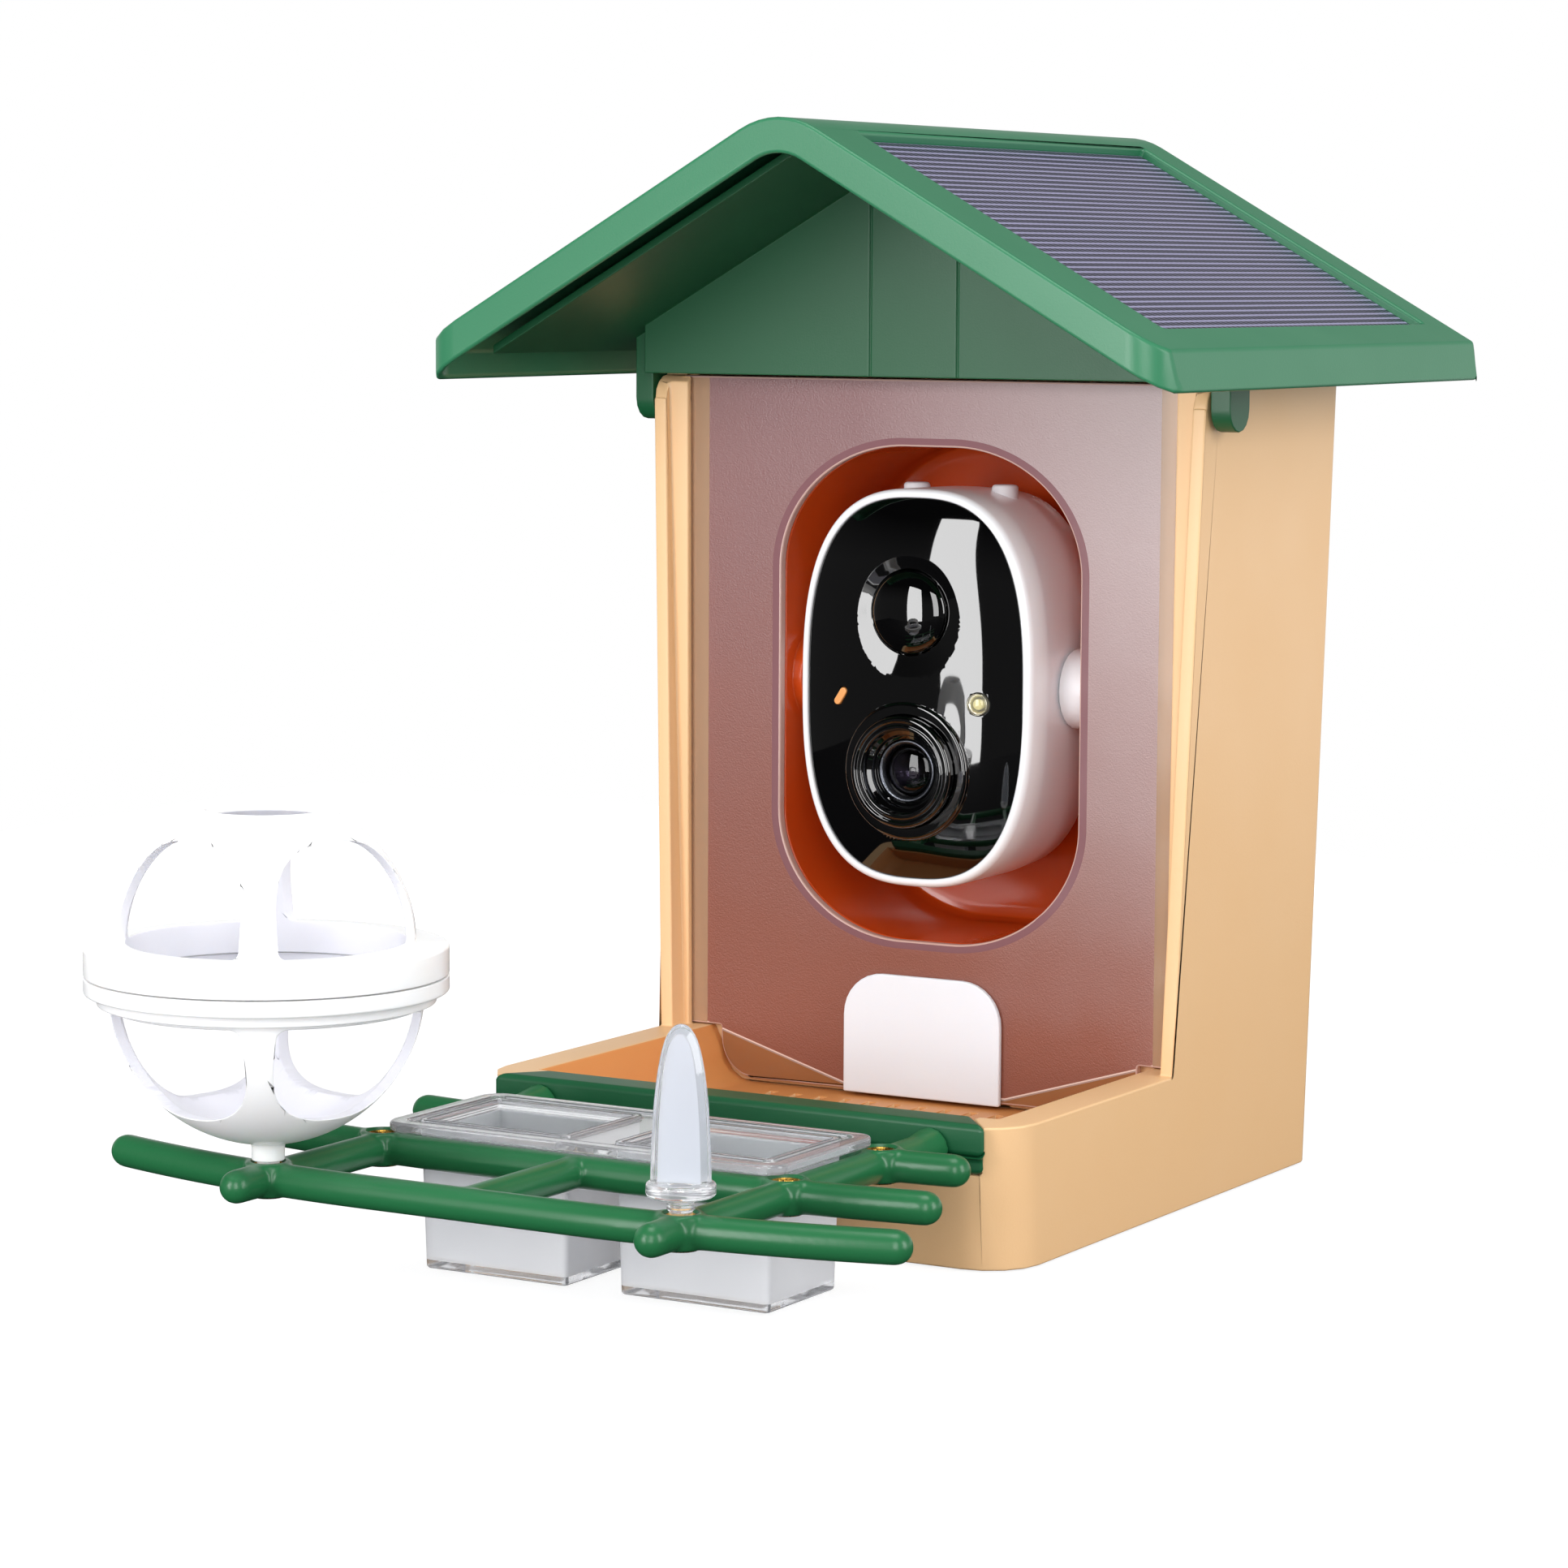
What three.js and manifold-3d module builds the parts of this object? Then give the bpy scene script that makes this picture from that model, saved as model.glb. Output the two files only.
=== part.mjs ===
// Bird feeder house with a camera bay, a hinged solar roof, a seed tray and a perch frame that
// carries a twin cup, a ball cage and a fruit spike.
// Millimetres. +Z is up and -Y is the front. X = 0 is the middle of the house, Y = 0 is the front
// face of its lips, and Z = 0 is the plane that it stands on.

import * as THREE from 'three';
import { mergeVertices } from 'three/addons/utils/BufferGeometryUtils.js';
import Module from 'manifold-3d';

const wasm = await Module();
wasm.setup();

// Clearances, and how far a cut runs past the face that it opens
const fit = 0.3;
const overrun = 3;

// Heights, from the seed gap up past the camera and its window to the top of the house
const cameraHalfHeight = 47.5;
const seedGapTop = 42;
const windowFoot = seedGapTop + 15.85;
const windowHalfHeight = cameraHalfHeight + 11.85;
const windowCentre = windowFoot + windowHalfHeight;
const houseHeight = windowCentre + windowHalfHeight + 16.25;

// House: outer walls that draw in towards the foot
const houseHalfTop = 74.4;
const houseHalfFoot = houseHalfTop - 5.4;
const houseBack = 73.5;
const houseRearCorner = 3;
const sideWall = 3.4;
const backWall = 2.6;
const stripLeadTop = 2;
const stripLeadFoot = 5.4;
const lipInnerTop = houseHalfTop - 8.5;
const lipInnerFoot = lipInnerTop - 0.8;
const lipThickness = 2;
const grooveDepth = 2.7;

// Seed tray and base
const trayTop = 32.6;
const trayFloor = 19;
const floorThickness = 2.4;
const baseFrontTop = -87;
const baseFrontFoot = -83;
const baseCorner = 13;
const baseWall = 2.6;
const trayHalfRim = houseHalfFoot - 8.7;
const trayHalfKnee = trayHalfRim - 2.8;
const trayKneeHeight = 26.5;
const trayHalfFloor = trayHalfKnee - 8.5;
const rimPocketTop = 29.6;
const rimPocketFront = -66;
const slotPitch = 6.9;
const slotWidth = 2.2;
const slotCount = 12;
const slotFront = -26;
const slotBack = -4;
const padRadius = 17;
const padThickness = 4;
const ribThickness = 3;
const ribLift = 1.5;

// Front panel, its window and its seed opening
const panelThickness = 2.5;
const panelToeHalf = lipInnerFoot - 8.1;
const panelTongueHalf = panelToeHalf - 9.5;
const panelTongueFoot = 20.4;
const panelNotchHalf = panelTongueHalf - 4.7;
const panelNotchWidth = 0.9;
const panelNotchDepth = 1.6;
const windowHalfWidth = 40.6;
const windowCornerX = 34;
const windowCornerZ = 30;
const seedGapHalf = 14;
const seedGapFoot = 22;

// Seed gate and the clip that holds it from behind
const gateHalf = 21.3;
const gateFoot = 20;
const gateCorner = 10.5;
const gateHeight = 29.5;
const gateThickness = 1.6;
const gateStemHalf = 5;
const gateStemFoot = 24;
const gateStemHeight = 5;
const gatePinHalf = 2.6;
const clipHalf = 18;
const clipThickness = 1.6;
const clipOverlap = 1.8;

// Seed chute behind the panel
const chuteThickness = 2;
const chuteFlatHalf = 22;
const chuteLevel = 21.6;
const chuteSlope = 0.325;
const chuteRise = 20;
const chuteWeb = 2;

// Camera bay
const bayWall = 2;
const bayDepth = 42;
const bayPostRadius = 4.6;
const bayPostSpacing = 2 * windowHalfHeight - 34.7;
const bayBossRadius = 10.7;

// Camera housing
const cameraHalfWidth = 31.2;
const cameraCentre = windowCentre + 2.2;
const cameraPower = 2.7;
const cameraFront = -4.5;
const cameraBack = 40;
const cameraWall = 2.1;
const coverThickness = 2.7;
const faceBack = 1.6;
const faceBulge = 3.5;
const tiltY = 18.8;
const pivotRadius = 9.6;
const pivotFace = 37.7;
const pivotPinRadius = 3;
const pivotSpigotRadius = 4;

// Camera optics, sensors and controls
const sensorHeight = 18.4;
const dishRadius = 16.5;
const dishFloorRadius = 11;
const motionRadius = 10;
const motionDome = 4.4;
const sensorCanRadius = 4.6;
const lensDrop = 19.3;
const surroundRadius = 16.5;
const surroundLead = 4.6;
const barrelRadius = 13.4;
const barrelLead = 7.2;
const flangeWidth = 1.8;
const flangeThickness = 1.5;
const lensRingRadius = 7.4;
const lensRadius = 6.2;
const lampX = 18.5;
const lampDrop = 2.8;
const lampRadius = 2.6;
const lightSlotX = -18.5;
const lightSlotDrop = 2.6;
const lightSlotLength = 4.6;
const lightSlotWidth = 1.8;
const lightSlotLean = 33;
const boardY = 16;
const boardThickness = 1.6;
const boardHalfHeight = cameraHalfHeight - 8.8;
const cellRadius = 9.2;
const cellLength = 2 * boardHalfHeight - 12.4;
const cellPitch = 19.2;
const buttonX = 12;
const buttonY = 18.5;
const buttonRadius = 3.2;
const buttonProud = 1.9;
const buttonTravel = 1;
const portHalfWidth = 6;
const portHalfHeight = 3;
const portDrop = cameraHalfHeight - 17.5;

// Roof: two slopes with a rounded ridge
const slopeDegrees = 29.3;
const ridgeRadius = 20;
const roofThickness = 8;
const roofSkin = 2.5;
const roofRim = 2;
const eaveHalfTop = houseHalfTop + 20.9;
const eaveHalfFoot = eaveHalfTop + 1.5;
const eaveFoot = houseHeight - 0.6;
const fasciaRise = 9.32;
const roofFront = -70.1;
const roofBack = 106.8;
const roofFrontCorner = 10;
const roofBackCorner = 2;
const recessInner = 10.6;
const recessOuter = eaveHalfTop - 8.3;
const recessFront = -51.4;
const recessBack = 94.1;
const recessReveal = 2;
const recessFloor = 1.5;
const solarThickness = 1.6;

// Roof base: liner plate, gable frame and ears
const linerThickness = 1.8;
const linerHalf = eaveHalfTop - 9.3;
const linerFront = -55;
const linerBack = 96;
const gableHalf = houseHalfTop + 0.2;
const gableFront = -6;
const gableWall = 2;
const gableGrooveX = 11.7;
const gableGrooveWidth = 0.9;
const gableGrooveDepth = 0.6;
const earInner = houseHalfTop + 0.6;
const earOuter = earInner + 5;
const earRadius = 5.3;
const hingeY = 4;
const hingeZ = houseHeight - 5.8;
const hingePinRadius = 2;
const hingePinInner = earInner - 5;
const earSkin = 0.8;
const notchRadius = 5.7;
const junctionLength = 24;
const junctionWidth = 20;
const junctionDepth = 7.5;
const junctionFront = 20;
const junctionAlong = 40;

// Front bar and perch frame
const barHalfFront = houseHalfFoot - 4.7;
const barHalfBack = barHalfFront - 8.7;
const barFront = -87.5;
const barBack = -77;
const barTop = 33.4;
const barFoot = 22.2;
const barStep = 26.2;
const barStepDepth = 0.5;
const collarRadius = 4.8;
const collarLead = 0.8;
const rodRadius = 3.55;
const rodLevel = 27.5;
const nodeX = barHalfFront - 13.3;
const nodeRadius = 5;
const bossProud = 0.1;
const rodStraightHalf = 25;
const frontRow = { middle: -193.3, half: 98.8, sweep: 11 };
const middleRow = { middle: -151.4, half: 85.4, sweep: 5.4 };
const rearRow = { middle: -111.3, half: 71.6, sweep: 3.3 };
const stubLength = 14.7;
const socketDepth = 7;
const insertRadius = 3.5;
const insertBore = 2.7;
const insertLength = 7;
const insertRecess = 0.5;

// Twin cup
const cupRimHalf = nodeX - 1;
const cupRimFront = -152.5;
const cupRimBack = -109;
const cupRimHeight = 2.2;
const cupRimCorner = 5;
const cupInnerX = 6;
const cupOuterX = cupRimHalf - 5.5;
const cupFront = -146;
const cupBack = -115.4;
const cupFoot = 0.5;
const cupWall = 1.5;
const cupFloor = 3.4;
const cupDraft = 0.8;
const cupLipWidth = 3.6;

// Ball cage
const ballStemRadius = 3.5;
const studRadius = 2.4;
const studLength = 6;
const lowerRadius = 33.05;
const lowerFoot = 35.1;
const upperRadius = 31.3;
const upperCentre = 77.4;
const ballWall = 2;
const flangeRadius = 38.2;
const flangeStepRadius = 35.5;
const flangeStepFoot = 65.2;
const flangeFoot = 67.5;
const flangeSeam = 71.1;
const flangeTop = 77.4;
const holeRadius = 12.7;
const ribHalf = 3.2;
const ballTurn = 33.5;
const ballWindowPower = 2.6;
const lowerWindowFoot = 43;
const lowerWindowTop = 64.2;
const upperWindowFoot = 78.2;
const upperWindowTop = 100.6;

// Fruit spike
const spikeThreadRadius = 3;
const spikeCollarRadius = 7.1;
const spikeCollarFoot = 34.6;
const spikeCollarTop = 37.4;
const spikeTop = 69.2;
const spikeBladeHalf = 6.3;
const spikeBladeThickness = 3.6;
const spikeTurn = 18;

// Fasteners and the rear bracket
const screwRadius = 1.5;
const screwHeadRadius = 2.6;
const screwHeadHeight = 1.8;
const barScrewX = barHalfBack - 15.6;
const barScrewLength = 13;
const roofScrewYs = [14, 58];
const bracketHalf = 25;
const bracketFoot = windowCentre - 23.2;
const bracketTop = bracketFoot + 52;
const bracketWall = 3;
const bracketReach = 111;
const bracketScrewX = 13;
const keyholeRadius = 3.6;
const keyholeSlot = 2;
const keyholeDrop = 8;
const keyholeSpacing = 26;
const backBossRadius = 4;
const backBossLength = 9;

// Facets round a full turn
const smallSides = 12;
const rodSides = 10;
const discSides = 24;
const ballSides = 24;
const ovalPoints = 36;
const cornerSteps = 4;
const bowSteps = 8;

const material = (color, roughness, metalness = 0, opacity = 1) => new THREE.MeshStandardMaterial({
  color, roughness, metalness, opacity, transparent: opacity < 1,
});

const sandPlastic = () => material('#e6b177', 0.5);
const greenPlastic = () => material('#1d6b3c', 0.45);
const bayPlastic = () => material('#b04a1c', 0.35);
const whitePlastic = () => material('#f2f2f4', 0.35);
const blackGloss = () => material('#08090b', 0.12);
const clearPlastic = () => material('#e8eef2', 0.1, 0, 0.35);
const frostedPlastic = () => material('#a87a76', 0.6, 0, 0.75);
const brass = () => material('#c79a45', 0.3, 1);
const steel = () => material('#9a9da2', 0.35, 1);

// Which coordinates an outline's two numbers and its depth stand for, by the axis it runs along
const planes = { x: [1, 2, 0], y: [0, 2, 1], z: [0, 1, 2] };

// A solid from corner positions and faces, turned right side out
const closedSolid = (positions, faces) => {
  const corner = (index) => new THREE.Vector3().fromArray(positions, 3 * index);
  const keep = faces.filter(([a, b, c]) => a !== b && b !== c && c !== a);
  const sixVolumes = keep.reduce(
    (sum, [a, b, c]) => sum + corner(a).dot(corner(b).cross(corner(c))), 0);
  const outward = sixVolumes < 0 ? keep.map(([a, b, c]) => [a, c, b]) : keep;
  const mesh = new wasm.Mesh({
    numProp: 3,
    vertProperties: Float32Array.from(positions),
    triVerts: Uint32Array.from(outward.flat()),
  });
  return new wasm.Manifold(mesh);
};

// A three.js geometry as a solid, its coordinates put in the order that the axis asks for
const solidFrom = (geometry, axis = 'z') => {
  geometry.deleteAttribute('normal');
  geometry.deleteAttribute('uv');
  const merged = mergeVertices(geometry, fit / 1000);
  const source = merged.attributes.position;
  const order = planes[axis];
  const positions = new Array(3 * source.count);
  for (let i = 0; i < source.count; i += 1) {
    const point = [source.getX(i), source.getY(i), source.getZ(i)];
    order.forEach((slot, from) => { positions[3 * i + slot] = point[from]; });
  }
  const faces = [];
  for (let i = 0; i < merged.index.count; i += 3) {
    faces.push([merged.index.getX(i), merged.index.getX(i + 1), merged.index.getX(i + 2)]);
  }
  return closedSolid(positions, faces);
};

const shapeOf = (points) => new THREE.Shape(points.map(([a, b]) => new THREE.Vector2(a, b)));

// A prism of an outline, from one place to another along an axis
const prism = (axis, points, from, to) => {
  const geometry = new THREE.ExtrudeGeometry(shapeOf(points), {
    depth: to - from, bevelEnabled: false,
  });
  geometry.translate(0, 0, from);
  return solidFrom(geometry, axis);
};

// A solid through outlines of equal point count, each { at, points }, along an axis
const loft = (axis, sections) => {
  const order = planes[axis];
  const count = sections[0].points.length;
  const positions = [];
  sections.forEach(({ at, points }) => points.forEach(([a, b]) => {
    const corner = [0, 0, 0];
    corner[order[0]] = a;
    corner[order[1]] = b;
    corner[order[2]] = at;
    positions.push(...corner);
  }));
  const faces = [];
  for (let ring = 0; ring + 1 < sections.length; ring += 1) {
    for (let i = 0; i < count; i += 1) {
      const next = (i + 1) % count;
      const [a, b] = [ring * count + i, ring * count + next];
      faces.push([a, b, b + count], [a, b + count, a + count]);
    }
  }
  const cap = (section, offset, flip) => {
    const flat = section.points.map(([a, b]) => new THREE.Vector2(a, b));
    THREE.ShapeUtils.triangulateShape(flat, []).forEach(([a, b, c]) => {
      faces.push(flip ? [offset + a, offset + c, offset + b] : [offset + a, offset + b, offset + c]);
    });
  };
  const clockwise = THREE.ShapeUtils.isClockWise(
    sections[0].points.map(([a, b]) => new THREE.Vector2(a, b)));
  cap(sections[0], 0, !clockwise);
  cap(sections.at(-1), (sections.length - 1) * count, clockwise);
  return closedSolid(positions, faces);
};

const box = (x0, x1, y0, y1, z0, z1) => prism('z', [[x0, y0], [x1, y0], [x1, y1], [x0, y1]], z0, z1);

// Points on an arc, in degrees from the outline's first direction
const arc = (a, b, radius, start, end, steps) => Array.from({ length: steps + 1 }, (_, i) => {
  const angle = THREE.MathUtils.degToRad(start + (end - start) * i / steps);
  return [a + radius * Math.cos(angle), b + radius * Math.sin(angle)];
});

// A rectangle with rounded corners: one radius on the low side of b, another on the high side
const cornerRect = (a0, a1, b0, b1, lowRadius, highRadius) => [
  ...arc(a0 + lowRadius, b0 + lowRadius, lowRadius, 180, 270, cornerSteps),
  ...arc(a1 - lowRadius, b0 + lowRadius, lowRadius, 270, 360, cornerSteps),
  ...arc(a1 - highRadius, b1 - highRadius, highRadius, 0, 90, cornerSteps),
  ...arc(a0 + highRadius, b1 - highRadius, highRadius, 90, 180, cornerSteps),
];

const rectangle = (a0, a1, b0, b1) => [[a0, b0], [a1, b0], [a1, b1], [a0, b1]];

// A rounded oval: |a / halfA|^power + |b / halfB|^power = 1
const oval = (halfA, halfB, power, centreB) => Array.from({ length: ovalPoints }, (_, i) => {
  const angle = 2 * Math.PI * i / ovalPoints;
  const bend = (value) => Math.sign(value) * Math.abs(value) ** (2 / power);
  return [halfA * bend(Math.cos(angle)), centreB + halfB * bend(Math.sin(angle))];
});

const cylinder = (axis, radius, from, to, a, b, sides = smallSides) =>
  prism(axis, arc(a, b, radius, 0, 360 * (sides - 1) / sides, sides - 1), from, to);

// A turned solid about a line along Z through x, y; profile points are [radius, z]
const turned = (profile, x, y, sides = smallSides) => {
  const points = profile.map(([radius, z]) => new THREE.Vector2(radius, z));
  return solidFrom(new THREE.LatheGeometry(points, sides), 'y').translate([x, y, 0]);
};

// A turned solid about a line along Y through x, z; profile points are [radius, y]
const turnedAlongY = (profile, x, z, sides = smallSides) => {
  const points = profile.map(([radius, y]) => new THREE.Vector2(radius, y));
  return solidFrom(new THREE.LatheGeometry(points, sides)).translate([x, 0, z]);
};

// A round rod along points in a level plane, with a radius at each point
const tube = (points, radii, level) => {
  const positions = [];
  points.forEach(([x, y], i) => {
    const [before, after] = [points[Math.max(i - 1, 0)], points[Math.min(i + 1, points.length - 1)]];
    const along = new THREE.Vector2(after[0] - before[0], after[1] - before[1]).normalize();
    for (let k = 0; k < rodSides; k += 1) {
      const angle = 2 * Math.PI * (k + 1 / 2) / rodSides;
      const across = radii[i] * Math.cos(angle);
      positions.push(x - along.y * across, y + along.x * across, level + radii[i] * Math.sin(angle));
    }
  });
  const faces = [];
  for (let i = 0; i + 1 < points.length; i += 1) {
    for (let k = 0; k < rodSides; k += 1) {
      const [a, b] = [i * rodSides + k, i * rodSides + (k + 1) % rodSides];
      faces.push([a, b, b + rodSides], [a, b + rodSides, a + rodSides]);
    }
  }
  const last = (points.length - 1) * rodSides;
  for (let k = 1; k + 1 < rodSides; k += 1) {
    faces.push([0, k + 1, k], [last, last + k, last + k + 1]);
  }
  return closedSolid(positions, faces);
};

// A rounded end for a rod: how far back each ring lies and its radius, as shares of the rod's radius
const endShares = [[1, 0.3], [0.75, 0.66], [0.4, 0.92], [0, 1]];

const join = (parts) => parts.reduce((whole, part) => whole.add(part));

const feeder = new THREE.Group();

// A solid as a named mesh in the group
const place = (name, solid, finish) => {
  const { vertProperties, triVerts, numProp } = solid.getMesh();
  const geometry = new THREE.BufferGeometry();
  const positions = new Float32Array(vertProperties.length / numProp * 3);
  for (let i = 0; i < positions.length / 3; i += 1) {
    positions.set(vertProperties.subarray(i * numProp, i * numProp + 3), 3 * i);
  }
  geometry.setAttribute('position', new THREE.BufferAttribute(positions, 3));
  geometry.setIndex(new THREE.BufferAttribute(triVerts, 1));
  geometry.computeVertexNormals();
  const mesh = new THREE.Mesh(geometry, finish);
  mesh.name = name;
  feeder.add(mesh);
};

const sides = [['left', -1], ['right', 1]];

// The window's outline: an upright rectangle with wide rounded corners, grown by a margin
const windowOutline = (margin) =>
  [[1, 1, 0], [-1, 1, 90], [-1, -1, 180], [1, -1, 270]].flatMap(([sideX, sideZ, from]) =>
    arc(0, 0, 1, from, from + 90, 2 * cornerSteps).map(([a, b]) => [
      sideX * (windowHalfWidth - windowCornerX) + (windowCornerX + margin) * a,
      windowCentre + sideZ * (windowHalfHeight - windowCornerZ) + (windowCornerZ + margin) * b,
    ]));

// House half width, front of the base, strips and lips at a height
const houseHalf = (z) => houseHalfFoot + (houseHalfTop - houseHalfFoot) * z / houseHeight;
const baseFront = (z) => baseFrontFoot + (baseFrontTop - baseFrontFoot) * z / trayTop;
const lipInner = (z) =>
  lipInnerFoot + (lipInnerTop - lipInnerFoot) * (z - trayTop) / (houseHeight - trayTop);
const stripLead = (z) =>
  stripLeadFoot + (stripLeadTop - stripLeadFoot) * (z - trayTop) / (houseHeight - trayTop);

const grooveBack = lipThickness + panelThickness + 2 * fit;
const rearLipBack = grooveBack + lipThickness;
const houseInnerBack = houseBack - backWall;
const panelFront = lipThickness + fit;
const panelBack = panelFront + panelThickness;
const bayFront = panelBack + fit;
const bayBack = bayFront + bayDepth;
const bayBossFace = pivotFace + fit;
const bayPostZs = [windowCentre - bayPostSpacing / 2, windowCentre + bayPostSpacing / 2];
const bracketMiddle = (bracketFoot + bracketTop) / 2;
const slopeAngle = THREE.MathUtils.degToRad(slopeDegrees);
const slopeTan = Math.tan(slopeAngle);
const ridgeApex = eaveFoot + fasciaRise + slopeTan * eaveHalfTop;
const slopeCos = Math.cos(slopeAngle);
const slopeSin = Math.sin(slopeAngle);
const ridgeCentre = ridgeApex - ridgeRadius / slopeCos;

// Outline of the bar, grown by a margin where the base makes room for it
const barOutline = (margin) => [
  [-barHalfFront - margin, barFront - margin], [barHalfFront + margin, barFront - margin],
  [barHalfBack + margin, barBack + margin], [-barHalfBack - margin, barBack + margin],
];

// House shell: base, tray, walls and lips in one moulding
const barScrewSeat = trayFloor - floorThickness - fit;
const barScrewY = baseFront(barScrewSeat - screwHeadHeight) + baseWall + screwHeadRadius + fit;
const buildHouse = () => {
  const section = (z) => ({
    at: z,
    points: cornerRect(-houseHalf(z), houseHalf(z), baseFront(z), houseBack, baseCorner, houseRearCorner),
  });
  const topCut = houseHeight + overrun;
  const past = baseFront(topCut) - overrun;
  const frontCut = prism('x', [
    [past, trayTop], [-stripLead(trayTop), trayTop], [-stripLead(topCut), topCut], [past, topCut],
  ], -houseHalfTop - overrun, houseHalfTop + overrun);

  const span = (z, half, front, back) => ({ at: z, points: rectangle(-half(z), half(z), front, back) });
  const innerHalf = (z) => houseHalf(z) - sideWall;
  const grooveHalf = (z) => lipInner(z) + grooveDepth;
  const hollow = (half, front, back, foot) =>
    loft('z', [span(foot, half, front, back), span(topCut, half, front, back)]);
  const hopper = hollow(innerHalf, rearLipBack, houseInnerBack, trayFloor);
  const doorway = hollow(lipInner, -stripLeadFoot - overrun, rearLipBack + overrun, trayTop);
  const between = hollow(innerHalf, -stripLeadFoot - overrun, 0, trayTop);
  const groove = hollow(grooveHalf, lipThickness, grooveBack, trayTop);
  const behindSill = box(-lipInnerFoot, lipInnerFoot, grooveBack, rearLipBack + overrun, trayFloor,
    trayTop + overrun);

  const barNook = barBack + fit;
  const trayFront = barNook + baseWall;
  const kneeRadius = (trayHalfKnee - trayHalfFloor);
  const curve = arc(trayHalfKnee - kneeRadius, trayFloor + kneeRadius, kneeRadius, 360, 270, cornerSteps);
  const rightSide = [[trayHalfRim + (trayHalfRim - trayHalfKnee), trayTop + overrun],
    [trayHalfRim, trayTop], [trayHalfKnee, Math.max(trayKneeHeight, trayFloor + kneeRadius)],
    ...curve.slice(1)];
  const leftSide = rightSide.map(([x, z]) => [-x, z]).reverse();
  const tray = prism('y', [...rightSide, ...leftSide], trayFront, rearLipBack);
  const barRoom = prism('z', barOutline(fit), barFoot - fit, barTop + overrun);
  const frontTrim = box(-barHalfFront - fit, barHalfFront + fit, past, barFront + fit,
    barFoot - fit, barTop + overrun);
  const wallTrim = box(-barHalfBack, barHalfBack, barNook - overrun, trayFront + overrun,
    trayTop - baseWall, trayTop + overrun);

  const under = trayFloor - floorThickness;
  const underSection = (z) => ({
    at: z,
    points: cornerRect(-houseHalf(z) + baseWall, houseHalf(z) - baseWall, baseFront(z) + baseWall,
      houseInnerBack, baseCorner - baseWall, houseRearCorner),
  });
  const belly = loft('z', [underSection(-overrun), underSection(under)]);
  const pocketInner = trayHalfRim + baseWall;
  const pockets = sides.map(([, side]) => {
    const outline = (z) => ({
      at: z,
      points: rectangle(
        Math.min(side * pocketInner, side * (houseHalf(z) - baseWall)),
        Math.max(side * pocketInner, side * (houseHalf(z) - baseWall)), rimPocketFront, 0),
    });
    return loft('z', [outline(under - overrun), outline(rimPocketTop)]);
  });
  const slotSpan = slotPitch * (slotCount - 1);
  const slots = Array.from({ length: slotCount }, (_, i) => {
    const x = -slotSpan / 2 + slotPitch * i;
    return box(x - slotWidth / 2, x + slotWidth / 2, slotFront, slotBack,
      under - overrun, trayFloor + overrun);
  });
  const notch = prism('x', [
    [-stripLeadFoot - overrun, hingeZ], [hingeY - notchRadius, hingeZ],
    ...arc(hingeY, hingeZ, notchRadius, 180, 90, cornerSteps), [hingeY, topCut],
    [-stripLeadFoot - overrun, topCut],
  ], -houseHalfTop - overrun, houseHalfTop + overrun);
  const bores = cylinder('x', hingePinRadius + fit, -houseHalfTop - overrun, houseHalfTop + overrun,
    hingeY, hingeZ);

  const ribEnd = houseHalfFoot - baseWall / 2;
  const ribs = [
    box(-ribEnd, ribEnd, -ribThickness / 2, ribThickness / 2, ribLift, under + floorThickness / 2),
    box(-ribThickness / 2, ribThickness / 2, baseFrontFoot + baseWall / 2, houseInnerBack + backWall / 2,
      ribLift, under + floorThickness / 2),
    cylinder('z', padRadius, 0, padThickness, 0, 0, discSides),
  ];
  const bossBack = houseInnerBack + backWall / 2;
  const bosses = [-bracketScrewX, bracketScrewX].map((x) =>
    cylinder('y', backBossRadius, houseInnerBack - backBossLength, bossBack, x, bracketMiddle));
  const screwHoles = [
    ...bayPostZs.map((z) => cylinder('y', screwRadius + fit,
      houseInnerBack - overrun, houseBack + overrun, 0, z)),
    ...[-bracketScrewX, bracketScrewX].map((x) => cylinder('y', screwRadius + fit,
      houseInnerBack - backBossLength + backWall, houseBack + overrun, x, bracketMiddle)),
    ...[-barScrewX, barScrewX].map((x) => cylinder('z', screwRadius + fit, under - overrun,
      barFoot + overrun, x, barScrewY)),
  ];

  const shell = loft('z', [section(0), section(houseHeight)]).subtract(join([
    frontCut, hopper, doorway, between, groove, behindSill, tray, barRoom, frontTrim, wallTrim, belly,
    ...pockets, ...slots, notch, bores,
  ]));
  return join([shell, ...ribs, ...bosses]).subtract(join(screwHoles));
};
place('house_shell', buildHouse(), sandPlastic());

// Frosted front panel: shoulders on the tray rim, a tongue down to the tray floor
const panelShoulder = trayTop + fit;
const panelHalf = (z) => lipInner(z) + grooveDepth - fit;
const panelTop = houseHeight - fit;
const buildPanel = () => {
  const curveRadius = panelToeHalf - panelTongueHalf;
  const toe = arc(panelTongueHalf, panelTongueFoot + curveRadius, curveRadius, 360, 270, cornerSteps + 2);
  const right = [
    [panelHalf(panelTop), panelTop], [panelHalf(panelShoulder), panelShoulder],
    [panelToeHalf, panelShoulder], ...toe,
    [panelNotchHalf, panelTongueFoot], [panelNotchHalf, panelTongueFoot + panelNotchDepth],
    [panelNotchHalf - panelNotchWidth, panelTongueFoot + panelNotchDepth],
    [panelNotchHalf - panelNotchWidth, panelTongueFoot],
  ];
  const left = right.map(([x, z]) => [-x, z]).reverse();
  const plate = prism('y', [...right, ...left], panelFront, panelBack);
  const window = prism('y', windowOutline(0),
    panelFront - overrun, panelBack + overrun);
  const seedGap = box(-seedGapHalf, seedGapHalf, panelFront - overrun, panelBack + overrun,
    seedGapFoot, seedGapTop);
  return plate.subtract(window).subtract(seedGap);
};
place('front_panel', buildPanel(), frostedPlastic());

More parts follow.
